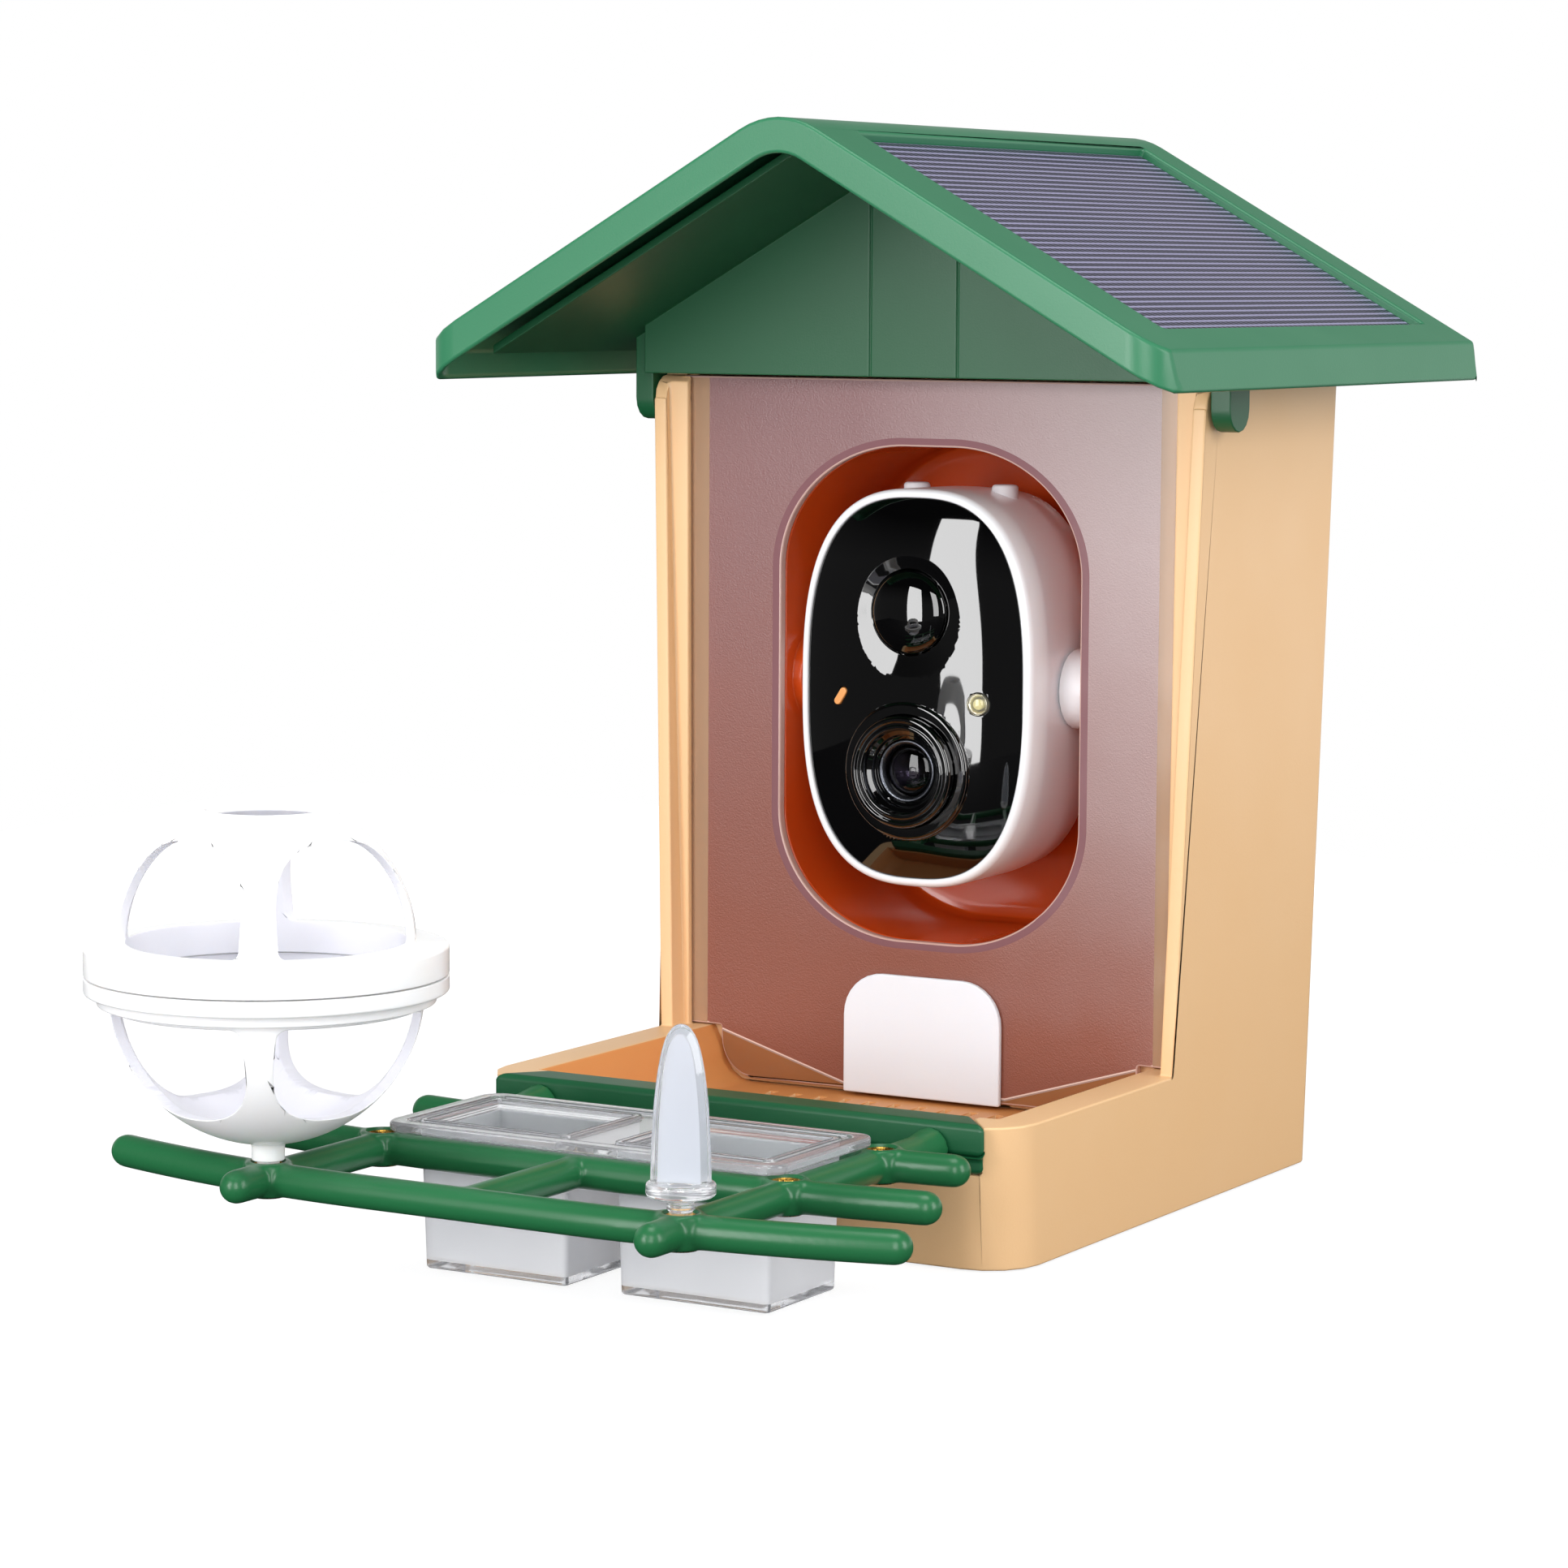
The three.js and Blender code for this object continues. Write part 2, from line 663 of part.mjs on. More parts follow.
// White seed gate: a plate in front of the panel, with a stem through the seed gap
const gateBack = panelFront - fit;
const clipFront = panelBack + fit;
const clipBack = clipFront + clipThickness;
const buildGate = () => {
  const top = gateFoot + gateHeight;
  const right = [[gateHalf, gateFoot],
    ...arc(gateHalf - gateCorner, top - gateCorner, gateCorner, 0, 90, 2 * cornerSteps)];
  const left = right.map(([x, z]) => [-x, z]).reverse();
  const plate = prism('y', [...right, ...left], gateBack - gateThickness, gateBack);
  const stem = box(-gateStemHalf, gateStemHalf, gateBack - gateThickness / 2, clipFront - fit,
    gateStemFoot, gateStemFoot + gateStemHeight);
  const pinZ = gateStemFoot + gateStemHeight / 2;
  const pin = box(-gatePinHalf, gatePinHalf, gateBack, clipBack, pinZ - gateStemHeight / 4,
    pinZ + gateStemHeight / 4);
  return join([plate, stem, pin]);
};
place('seed_gate', buildGate(), whitePlastic());

const buildGateClip = () => {
  const foot = gateStemFoot - clipOverlap;
  const top = gateStemFoot + gateStemHeight + clipOverlap;
  const pinZ = gateStemFoot + gateStemHeight / 2;
  const bar = box(-clipHalf, clipHalf, clipFront, clipBack, foot, top);
  const hole = box(-gatePinHalf - fit, gatePinHalf + fit, clipFront - overrun, clipBack + overrun,
    pinZ - gateStemHeight / 4 - fit, pinZ + gateStemHeight / 4 + fit);
  return bar.subtract(hole);
};
place('gate_clip', buildGateClip(), whitePlastic());

// Seed chute: a V that falls to the middle and forwards, with a web down to the house floor
const buildChute = () => {
  const back = houseInnerBack - fit;
  const front = grooveBack;
  const lift = (y) => chuteRise * (y - front) / (back - front);
  const edge = (y) => {
    const guess = houseHalf(chuteLevel + lift(y)) - sideWall;
    return houseHalf(chuteLevel + lift(y) + chuteSlope * (guess - chuteFlatHalf)) - sideWall - fit;
  };
  const section = (y) => {
    const z = chuteLevel + lift(y);
    const half = edge(y);
    const rise = chuteSlope * (half - chuteFlatHalf);
    return {
      at: y,
      points: [
        [-half, z + rise], [-chuteFlatHalf, z], [chuteFlatHalf, z], [half, z + rise],
        [half, z + rise - chuteThickness], [chuteFlatHalf, z - chuteThickness],
        [-chuteFlatHalf, z - chuteThickness], [-half, z + rise - chuteThickness],
      ],
    };
  };
  const plate = loft('y', [section(front), section(back)]);
  const webHalf = lipInnerFoot - fit;
  const webRise = chuteSlope * (webHalf - chuteFlatHalf);
  const webFoot = trayFloor + fit;
  const webTop = chuteLevel - chuteThickness / 2;
  const webs = sides.map(([, side]) => prism('y', [
    [side * chuteFlatHalf, webFoot], [side * webHalf, webFoot], [side * webHalf, webTop + webRise],
    [side * chuteFlatHalf, webTop],
  ], front, front + chuteWeb));
  const lips = sides.map(([, side]) => {
    const low = side * (lipInnerFoot - fit);
    const high = side * (houseHalfTop + overrun);
    return box(Math.min(low, high), Math.max(low, high), front - overrun, rearLipBack + fit,
      0, houseHeight);
  });
  return join([plate, ...webs]).subtract(join(lips));
};
place('seed_chute', buildChute(), sandPlastic());

// Camera bay: a rounded tub behind the window, on two posts from the back wall
const buildBay = () => {
  const tub = prism('y', windowOutline(bayWall), bayFront, bayBack + bayWall)
    .subtract(prism('y', windowOutline(0), bayFront - overrun, bayBack));
  const posts = bayPostZs.map((z) =>
    cylinder('y', bayPostRadius, bayBack + bayWall / 2, houseInnerBack - fit, 0, z));
  const pilots = bayPostZs.map((z) =>
    cylinder('y', screwRadius, bayBack + 2 * bayWall, houseInnerBack + overrun, 0, z));
  const bosses = sides.map(([, side]) => cylinder('x', bayBossRadius,
    Math.min(side * bayBossFace, side * (windowHalfWidth + bayWall / 2)),
    Math.max(side * bayBossFace, side * (windowHalfWidth + bayWall / 2)), tiltY, cameraCentre,
    discSides));
  const bores = cylinder('x', pivotPinRadius + fit, -houseHalfTop, houseHalfTop, tiltY, cameraCentre);
  return join([tub, ...posts, ...bosses]).subtract(join([...pilots, bores]));
};
place('camera_bay', buildBay(), bayPlastic());

// Camera case: an oval sleeve that rounds in at the back
const cameraOval = (inset) =>
  oval(cameraHalfWidth - inset, cameraHalfHeight - inset, cameraPower, cameraCentre);
const ring = (y, inset) => ({ at: y, points: cameraOval(inset) });
const caseBack = cameraBack - coverThickness - fit;
const edgeRound = cameraWall / 4;
const backRound = 2 * cameraWall;
const motionZ = cameraCentre + sensorHeight;
const lensZ = cameraCentre - lensDrop;
const caseTopAt = (x) => cameraCentre
  + cameraHalfHeight * (1 - (Math.abs(x) / cameraHalfWidth) ** cameraPower) ** (1 / cameraPower);
const buildCase = () => {
  const outer = loft('y', [
    ring(cameraFront, edgeRound), ring(cameraFront + edgeRound, 0),
    ring(buttonY + buttonRadius, edgeRound / 2),
    ring(caseBack - backRound, cameraWall / 2), ring(caseBack, backRound),
  ]);
  const inner = loft('y', [
    ring(cameraFront - overrun, cameraWall), ring(caseBack - 2 * backRound, cameraWall + edgeRound),
    ring(caseBack - backRound, cameraWall + cameraWall / 2), ring(caseBack + overrun, backRound + cameraWall),
  ]);
  const spigots = cylinder('x', pivotSpigotRadius + fit, -cameraHalfWidth - overrun,
    cameraHalfWidth + overrun, tiltY, cameraCentre);
  const buttons = sides.map(([, side]) => cylinder('z', buttonRadius + fit, cameraCentre,
    cameraCentre + cameraHalfHeight + overrun, side * buttonX, buttonY));
  return outer.subtract(join([inner, spigots, ...buttons]));
};
place('camera_case', buildCase(), whitePlastic());

// Domed black face, with the dish of the motion sensor and the ring round the lens
const faceInset = cameraWall + fit;
const faceRim = cameraFront + edgeRound;
const faceFront = faceRim - faceBulge - edgeRound;
const lampZ = cameraCentre - lampDrop;
const slotZ = cameraCentre - lightSlotDrop;
const slotOutline = (radius) => {
  const lean = 90 - lightSlotLean;
  const reach = (lightSlotLength - lightSlotWidth) / 2;
  const dx = reach * Math.cos(THREE.MathUtils.degToRad(lean));
  const dz = reach * Math.sin(THREE.MathUtils.degToRad(lean));
  return [
    ...arc(lightSlotX + dx, slotZ + dz, radius, lean - 90, lean + 90, cornerSteps),
    ...arc(lightSlotX - dx, slotZ - dz, radius, lean + 90, lean + 270, cornerSteps),
  ];
};
const domeShares = [[0.36, 0.08], [0.66, 0.22], [0.88, 0.42], [1, 0.68]];
const buildFace = () => {
  const dome = domeShares.map(([rise, inset]) =>
    ring(faceRim - rise * (faceRim - faceFront), faceInset + inset * (cameraHalfWidth - faceInset)));
  const sections = [ring(faceBack, faceInset), ring(faceRim, faceInset), ...dome];
  const plate = loft('y', sections);
  const dishSlope = (dishRadius - dishFloorRadius) / (faceBulge - edgeRound);
  const dishFloor = faceRim;
  const dish = turnedAlongY([
    [0, dishFloor], [dishFloorRadius, dishFloor],
    [dishRadius + dishSlope * overrun, faceFront - overrun], [0, faceFront - overrun],
  ], 0, motionZ, discSides);
  const surround = turnedAlongY([
    [0, faceBack - edgeRound], [surroundRadius - edgeRound, faceBack - edgeRound],
    [surroundRadius - edgeRound, faceRim], [surroundRadius, faceRim - faceBulge / 2],
    [surroundRadius - edgeRound, faceRim - surroundLead], [0, faceRim - surroundLead],
  ], 0, lensZ, discSides);
  const holes = [
    cylinder('y', motionRadius + fit, faceFront - overrun, faceBack + overrun, 0, motionZ, discSides),
    cylinder('y', barrelRadius + fit, faceFront - 2 * overrun, faceBack + overrun, 0, lensZ, discSides),
    cylinder('y', lampRadius + fit, faceFront - overrun, faceBack + overrun, lampX, lampZ),
    prism('y', slotOutline(lightSlotWidth / 2 + fit), faceFront - overrun, faceBack + overrun),
  ];
  return plate.subtract(dish).add(surround).subtract(join(holes));
};
place('camera_face', buildFace(), blackGloss());

// Motion sensor: a dome through the face and the can behind it
const flangeFront = faceBack + fit;
const flangeBack = flangeFront + flangeThickness;
const domeProfile = (radius, foot, height, steps) => Array.from({ length: steps + 1 }, (_, i) => {
  const angle = Math.PI / 2 * i / steps;
  return [i === steps ? 0 : radius * Math.cos(angle), foot - height * Math.sin(angle)];
});
place('motion_lens', turnedAlongY([
  [0, flangeBack], [motionRadius + flangeWidth, flangeBack], [motionRadius + flangeWidth, flangeFront],
  [motionRadius, flangeFront], ...domeProfile(motionRadius, faceRim - edgeRound, motionDome, 6),
], 0, motionZ, discSides), blackGloss());
place('motion_sensor', turnedAlongY([
  [0, flangeBack + fit], [sensorCanRadius, flangeBack + fit], [sensorCanRadius, boardY - fit],
  [0, boardY - fit],
], 0, motionZ), steel());

// Lens barrel with its ring and its glass
const barrelFront = faceRim - barrelLead;
const glassBack = faceRim - edgeRound;
place('lens_barrel', turnedAlongY([
  [0, boardY - fit], [barrelRadius, boardY - fit], [barrelRadius, flangeBack],
  [barrelRadius + flangeWidth, flangeBack], [barrelRadius + flangeWidth, flangeFront],
  [barrelRadius, flangeFront], [barrelRadius, barrelFront + edgeRound],
  [barrelRadius - edgeRound, barrelFront],
  [(barrelRadius + lensRingRadius) / 2, barrelFront],
  [(barrelRadius + lensRingRadius) / 2 - edgeRound, barrelFront + lensRingRadius / 4],
  [lensRingRadius + fit, barrelFront + lensRingRadius / 2], [lensRingRadius + fit, glassBack],
  [0, glassBack],
], 0, lensZ, discSides), blackGloss());
place('lens_ring', turnedAlongY([
  [lensRadius + fit, glassBack - fit], [lensRingRadius, glassBack - fit],
  [lensRingRadius, barrelFront + lensRingRadius / 2], [lensRadius + fit, barrelFront + lensRingRadius / 2],
  [lensRadius + fit, glassBack - fit],
], 0, lensZ, discSides), material('#44464c', 0.3, 1));
place('lens_glass', turnedAlongY([
  [0, glassBack - fit], [lensRadius, glassBack - fit],
  ...domeProfile(lensRadius, glassBack - 2 * fit, lensRadius / 3, 4),
], 0, lensZ, discSides), material('#1a1420', 0.03, 0, 0.6));

// Round lamp and slanted light window
place('lamp_lens', turnedAlongY([
  [0, flangeBack], [lampRadius + flangeWidth / 2, flangeBack], [lampRadius + flangeWidth / 2, flangeFront],
  [lampRadius, flangeFront], ...domeProfile(lampRadius, faceFront + 2 * edgeRound, lampRadius / 2, 4),
], lampX, lampZ), clearPlastic());
place('light_window', join([
  prism('y', slotOutline(lightSlotWidth / 2), faceFront + 2 * edgeRound, flangeBack),
  prism('y', slotOutline(lightSlotWidth / 2 + flangeWidth / 2), flangeFront, flangeBack),
]), material('#e08a3c', 0.2));

// Circuit board, cells and back cover
const boardBack = boardY + boardThickness;
const boardOutline = oval(cameraHalfWidth - 2 * cameraWall, boardHalfHeight, cameraPower, cameraCentre);
place('circuit_board', prism('y', boardOutline, boardY, boardBack), material('#1b5a34', 0.5));
const cellY = boardBack + fit + cellRadius;
sides.forEach(([name, side]) => {
  const cell = cylinder('z', cellRadius, cameraCentre - cellLength / 2, cameraCentre + cellLength / 2,
    side * cellPitch / 2, cellY, discSides);
  place(`battery_${name}`, cell, material('#3a6ea8', 0.4));
});
const portZ = cameraCentre - portDrop;
const portOutline = (margin) => cornerRect(-portHalfWidth - margin, portHalfWidth + margin,
  portZ - portHalfHeight - margin, portZ + portHalfHeight + margin, portHalfHeight / 2, portHalfHeight / 2);
const buildBackCover = () => loft('y', [
  ring(caseBack + fit, backRound), ring((caseBack + cameraBack) / 2, backRound + edgeRound * 2),
  ring(cameraBack, 2 * backRound),
]).subtract(prism('y', portOutline(fit), caseBack - overrun, cameraBack + overrun));
place('camera_back_cover', buildBackCover(), whitePlastic());
place('port_cover', join([
  prism('y', portOutline(0), caseBack + fit, cameraBack + fit + cameraWall / 2),
  prism('y', portOutline(cameraWall), cameraBack + fit, cameraBack + fit + cameraWall / 2),
]), material('#dcdcde', 0.8));

// Tilt pivots between the case and the bay
sides.forEach(([name, side]) => {
  const span = (from, to) => [Math.min(side * from, side * to), Math.max(side * from, side * to)];
  const disc = cylinder('x', pivotRadius, ...span(cameraHalfWidth + fit, pivotFace), tiltY, cameraCentre,
    discSides);
  const pin = cylinder('x', pivotPinRadius, ...span(pivotFace - fit, windowHalfWidth + bayWall), tiltY,
    cameraCentre);
  const spigot = cylinder('x', pivotSpigotRadius,
    ...span(cameraHalfWidth - cameraWall, cameraHalfWidth + 2 * fit), tiltY, cameraCentre);
  place(`tilt_pivot_${name}`, join([disc, pin, spigot]), whitePlastic());
});

// Two buttons on top of the case, each with a collar inside
const buildButton = (x) => {
  const top = caseTopAt(x) + buttonProud;
  const collarRadiusHere = buttonRadius + flangeWidth / 2;
  const collarTop = caseTopAt(Math.abs(x) + collarRadiusHere) - cameraWall - edgeRound - 2 * fit;
  const collarFoot = collarTop - flangeThickness;
  return turned([
    [0, collarFoot], [collarRadiusHere, collarFoot], [collarRadiusHere, collarTop],
    [buttonRadius, collarTop], [buttonRadius, top - buttonTravel / 2],
    [buttonRadius - buttonTravel / 2, top], [0, top],
  ], x, buttonY);
};
const buttonFinish = () => material('#d7d7da', 0.6);
place('power_button', buildButton(buttonX), buttonFinish());
place('pairing_button', buildButton(-buttonX), buttonFinish());

// Gable line at a depth below the roof's surface: a rounded ridge between two slopes
const slopeZ = (x, depth) => ridgeApex - depth / slopeCos - slopeTan * Math.abs(x);
const gableLine = (depth, half) => [
  [half, slopeZ(half, depth)],
  ...arc(0, ridgeCentre, ridgeRadius - depth, 90 - slopeDegrees, 90 + slopeDegrees, 2 * cornerSteps),
  [-half, slopeZ(half, depth)],
];
const slab = (top, foot, half, front, back) =>
  prism('y', [...gableLine(top, half), ...gableLine(foot, half).reverse()], front, back);
const slopePoint = (along, depth) => [
  along * slopeCos - depth * slopeSin, ridgeApex - along * slopeSin - depth * slopeCos];
const slopeBlock = (alongFrom, alongTo, depthFrom, depthTo, front, back) => prism('y', [
  slopePoint(alongFrom, depthFrom), slopePoint(alongTo, depthFrom),
  slopePoint(alongTo, depthTo), slopePoint(alongFrom, depthTo),
], front, back);
const recessDepth = recessReveal + solarThickness + fit;
const recessFrom = recessInner / slopeCos;
const recessTo = recessOuter / slopeCos;
const junctionTo = junctionAlong + junctionWidth;
const linerTop = recessDepth + recessFloor + fit;
const linerFoot = linerTop + linerThickness;
const roofBossFoot = ridgeCentre + ridgeRadius - linerTop + fit;

// Roof shell: outer slab with a rim, a tray for the solar panel and two bosses under the ridge
const buildRoofShell = () => {
  const plan = (inset) => prism('z', cornerRect(-eaveHalfFoot + inset, eaveHalfFoot - inset,
    roofFront + inset, roofBack - inset, roofFrontCorner - inset, Math.max(roofBackCorner - inset, fit)),
  eaveFoot - overrun, ridgeApex + overrun);
  const outline = [
    [eaveHalfFoot, eaveFoot], ...gableLine(0, eaveHalfTop), [-eaveHalfFoot, eaveFoot],
    [-(slopeZ(0, roofThickness) - eaveFoot) / slopeTan, eaveFoot],
    ...gableLine(roofThickness, eaveHalfTop).slice(1, -1).reverse(),
    [(slopeZ(0, roofThickness) - eaveFoot) / slopeTan, eaveFoot],
  ];
  const block = prism('y', outline, roofFront - overrun, roofBack + overrun).intersect(plan(0));
  const cavity = slab(roofSkin, roofThickness + overrun, eaveHalfFoot,
    roofFront - overrun, roofBack + overrun)
    .intersect(plan(roofRim));
  const trayBlock = slopeBlock(recessFrom - roofRim, recessTo + roofRim, roofSkin / 2,
    recessDepth + recessFloor, recessFront - roofRim, recessBack + roofRim);
  const recess = slopeBlock(recessFrom, recessTo, -overrun, recessDepth, recessFront, recessBack);
  const junctionHole = slopeBlock(junctionAlong - fit, junctionTo + fit, 0, roofThickness,
    junctionFront - fit, junctionFront + junctionLength + fit);
  const skinUnderside = ridgeCentre + ridgeRadius - roofSkin;
  const bosses = roofScrewYs.map((y) =>
    cylinder('z', screwHeadRadius, roofBossFoot, skinUnderside + roofSkin / 2, 0, y));
  const pilots = roofScrewYs.map((y) =>
    cylinder('z', screwRadius, roofBossFoot - overrun, skinUnderside, 0, y));
  return block.subtract(cavity).add(join([trayBlock, ...bosses]))
    .subtract(join([recess, junctionHole, ...pilots]));
};
place('roof_shell', buildRoofShell(), greenPlastic());

place('solar_panel', slopeBlock(recessFrom + fit, recessTo - fit, recessReveal, recessReveal + solarThickness,
  recessFront + fit, recessBack - fit), material('#23252f', 0.35));
place('junction_box', slopeBlock(junctionAlong, junctionTo, recessDepth,
  recessDepth + junctionDepth, junctionFront, junctionFront + junctionLength), material('#1b1c1f', 0.5));

// Roof base: liner plate, gable frame with two grooves, and the ears that hold the hinge pins
const buildRoofBase = () => {
  const foot = houseHeight + fit;
  const plate = slab(linerTop, linerFoot, linerHalf, linerFront, linerBack);
  const under = prism('y', [...gableLine((linerTop + linerFoot) / 2, linerHalf), [-linerHalf, foot - overrun],
    [linerHalf, foot - overrun]], linerFront, linerBack);
  const earUnder = prism('y', [...gableLine((linerTop + linerFoot) / 2, linerHalf),
    [-linerHalf, hingeZ - 2 * earRadius], [linerHalf, hingeZ - 2 * earRadius]], linerFront, linerBack);
  const frame = box(-gableHalf, gableHalf, gableFront, houseBack, foot, ridgeApex)
    .subtract(box(-gableHalf + gableWall, gableHalf - gableWall, gableFront + gableWall,
      houseBack - gableWall, foot - overrun, ridgeApex + overrun));
  const grooves = sides.map(([, side]) => prism('z', [
    [side * gableGrooveX - gableGrooveWidth / 2, gableFront - fit],
    [side * gableGrooveX + gableGrooveWidth / 2, gableFront - fit],
    [side * gableGrooveX, gableFront + gableGrooveDepth],
  ], foot - overrun, ridgeApex + overrun));
  const ears = sides.map(([, side]) => {
    const earTop = slopeZ(earOuter, linerTop);
    const outline = [...arc(hingeY, hingeZ, earRadius, 180, 360, 2 * cornerSteps),
      [hingeY + earRadius, earTop], [hingeY - earRadius, earTop]];
    const ear = prism('x', outline, Math.min(side * earInner, side * earOuter),
      Math.max(side * earInner, side * earOuter)).intersect(earUnder);
    const bridge = box(Math.min(side * (gableHalf - gableWall / 2), side * (earInner + gableWall)),
      Math.max(side * (gableHalf - gableWall / 2), side * (earInner + gableWall)),
      hingeY - earRadius, hingeY + earRadius, foot + fit, earTop).intersect(earUnder);
    return ear.add(bridge);
  });
  const pinRoom = cylinder('x', hingePinRadius + fit / 10, -earOuter + earSkin, earOuter - earSkin,
    hingeY, hingeZ);
  const screwRoom = roofScrewYs.map((y) => cylinder('z', screwRadius + fit,
    ridgeApex - roofThickness - overrun * 2, ridgeApex, 0, y));
  const junctionRoom = slopeBlock(junctionAlong - fit, junctionTo + fit, 0, roofThickness + overrun,
    junctionFront - fit, junctionFront + junctionLength + fit);
  return join([frame.intersect(under), ...ears, plate])
    .subtract(join([...grooves, pinRoom, ...screwRoom, junctionRoom]));
};
place('roof_base', buildRoofBase(), greenPlastic());

// Hinge pins through the ears into the house walls
sides.forEach(([name, side]) => {
  const ends = [side * hingePinInner, side * (earOuter - earSkin - fit)];
  place(`hinge_pin_${name}`, cylinder('x', hingePinRadius - fit / 3, Math.min(...ends), Math.max(...ends),
    hingeY, hingeZ), steel());
});

// A pan-head screw along Z from its head's seat, up or down
const screw = (seat, reach, x, y) => {
  const way = Math.sign(reach - seat);
  return turned([
    [0, seat - way * screwHeadHeight], [screwHeadRadius - screwRadius / 3, seat - way * screwHeadHeight],
    [screwHeadRadius, seat], [screwRadius - fit, seat], [screwRadius - fit, reach], [0, reach],
  ], x, y);
};
const screwAlongY = (seat, reach, x, z) => {
  const way = Math.sign(reach - seat);
  return turnedAlongY([
    [0, seat - way * screwHeadHeight], [screwHeadRadius - screwRadius / 3, seat - way * screwHeadHeight],
    [screwHeadRadius, seat], [screwRadius - fit, seat], [screwRadius - fit, reach], [0, reach],
  ], x, z);
};
const linerUnderRidge = ridgeCentre + ridgeRadius - linerFoot;
['front', 'rear'].forEach((name, i) => {
  place(`roof_screw_${name}`, screw(linerUnderRidge - fit, ridgeCentre + ridgeRadius - roofSkin - fit, 0,
    roofScrewYs[i]), steel());
});
['lower', 'upper'].forEach((name, i) => {
  place(`bay_screw_${name}`,
    screwAlongY(houseBack + fit, bayBack + 2 * bayWall + fit, 0, bayPostZs[i]), steel());
});

// Front bar across the tray, with sockets for the perch frame
const buildBar = () => {
  const body = prism('z', barOutline(0), barFoot, barTop);
  const step = box(-houseHalfTop, houseHalfTop, barFront - overrun, barFront + barStepDepth,
    barFoot - overrun, barStep);
  const collars = sides.map(([, side]) => cylinder('y', collarRadius, barFront - collarLead,
    barFront + collarLead, side * nodeX, rodLevel, discSides));
  const collarTrim = box(-houseHalfTop, houseHalfTop, barFront - overrun, barFront + overrun,
    0, barFoot);
  const sockets = sides.map(([, side]) => cylinder('y', rodRadius + fit, barFront - overrun,
    barFront + socketDepth + fit, side * nodeX, rodLevel, rodSides));
  const pilots = [-barScrewX, barScrewX].map((x) =>
    cylinder('z', screwRadius, barFoot - overrun, barScrewSeat + barScrewLength + fit, x, barScrewY));
  return body.subtract(step).add(join(collars)).subtract(join([collarTrim, ...sockets, ...pilots]));
};
place('front_bar', buildBar(), greenPlastic());
sides.forEach(([name, side]) => {
  place(`bar_screw_${name}`, screw(barScrewSeat, barScrewSeat + barScrewLength, side * barScrewX, barScrewY),
    steel());
});

// Perch frame: three swept rods, two side rods into the bar, a centre rod and two stubs
const rowY = (row, x) => {
  const beyond = Math.max(Math.abs(x) - rodStraightHalf, 0) / (row.half - rodStraightHalf);
  return row.middle + row.sweep * beyond ** 2;
};
const rows = [frontRow, middleRow, rearRow];
const nodePlaces = rows.flatMap((row, i) => sides.map(([name, side]) => ({
  name: `${['front', 'middle', 'rear'][i]}_${name}`, x: side * nodeX, y: rowY(row, nodeX),
})));
const rodTop = rodLevel + rodRadius + bossProud;
const buildPerch = () => {
  const bows = rows.map((row) => {
    const stations = [];
    for (let i = 0; i <= bowSteps; i += 1) {
      stations.push([(2 * i / bowSteps - 1) * (row.half - rodRadius), rodRadius]);
    }
    const tips = endShares.slice(0, -1).map(([back, share]) =>
      [row.half - rodRadius + back * rodRadius, share * rodRadius]);
    const all = [...tips.map(([x, radius]) => [-x, radius]), ...stations, ...tips.reverse()];
    return tube(all.map(([x]) => [x, rowY(row, x)]), all.map(([, radius]) => radius), rodLevel);
  });
  const frontY = rowY(frontRow, nodeX) - stubLength + rodRadius;
  const straight = sides.map(([, side]) => tube(
    [...endShares.map(([back]) => [side * nodeX, frontY - back * rodRadius]),
      [side * nodeX, barFront + socketDepth]],
    [...endShares.map(([, share]) => share * rodRadius), rodRadius], rodLevel));
  const centre = tube([[0, frontRow.middle], [0, middleRow.middle]], [rodRadius, rodRadius], rodLevel);
  const bosses = nodePlaces.map(({ x, y }) =>
    cylinder('z', nodeRadius, rodLevel - rodRadius - bossProud, rodTop, x, y, smallSides));
  const bores = nodePlaces.map(({ x, y }) =>
    cylinder('z', insertRadius + fit, rodTop - insertRecess - insertLength - fit, rodTop + overrun,
      x, y, smallSides));
  return join([...bows, ...straight, centre, ...bosses]).subtract(join(bores));
};
place('perch_frame', buildPerch(), greenPlastic());

nodePlaces.forEach(({ name, x, y }) => {
  const top = rodTop - insertRecess;
  place(`insert_${name}`, turned([
    [insertBore, top - insertLength], [insertRadius, top - insertLength], [insertRadius, top],
    [insertBore, top], [insertBore, top - insertLength],
  ], x, y), brass());
});

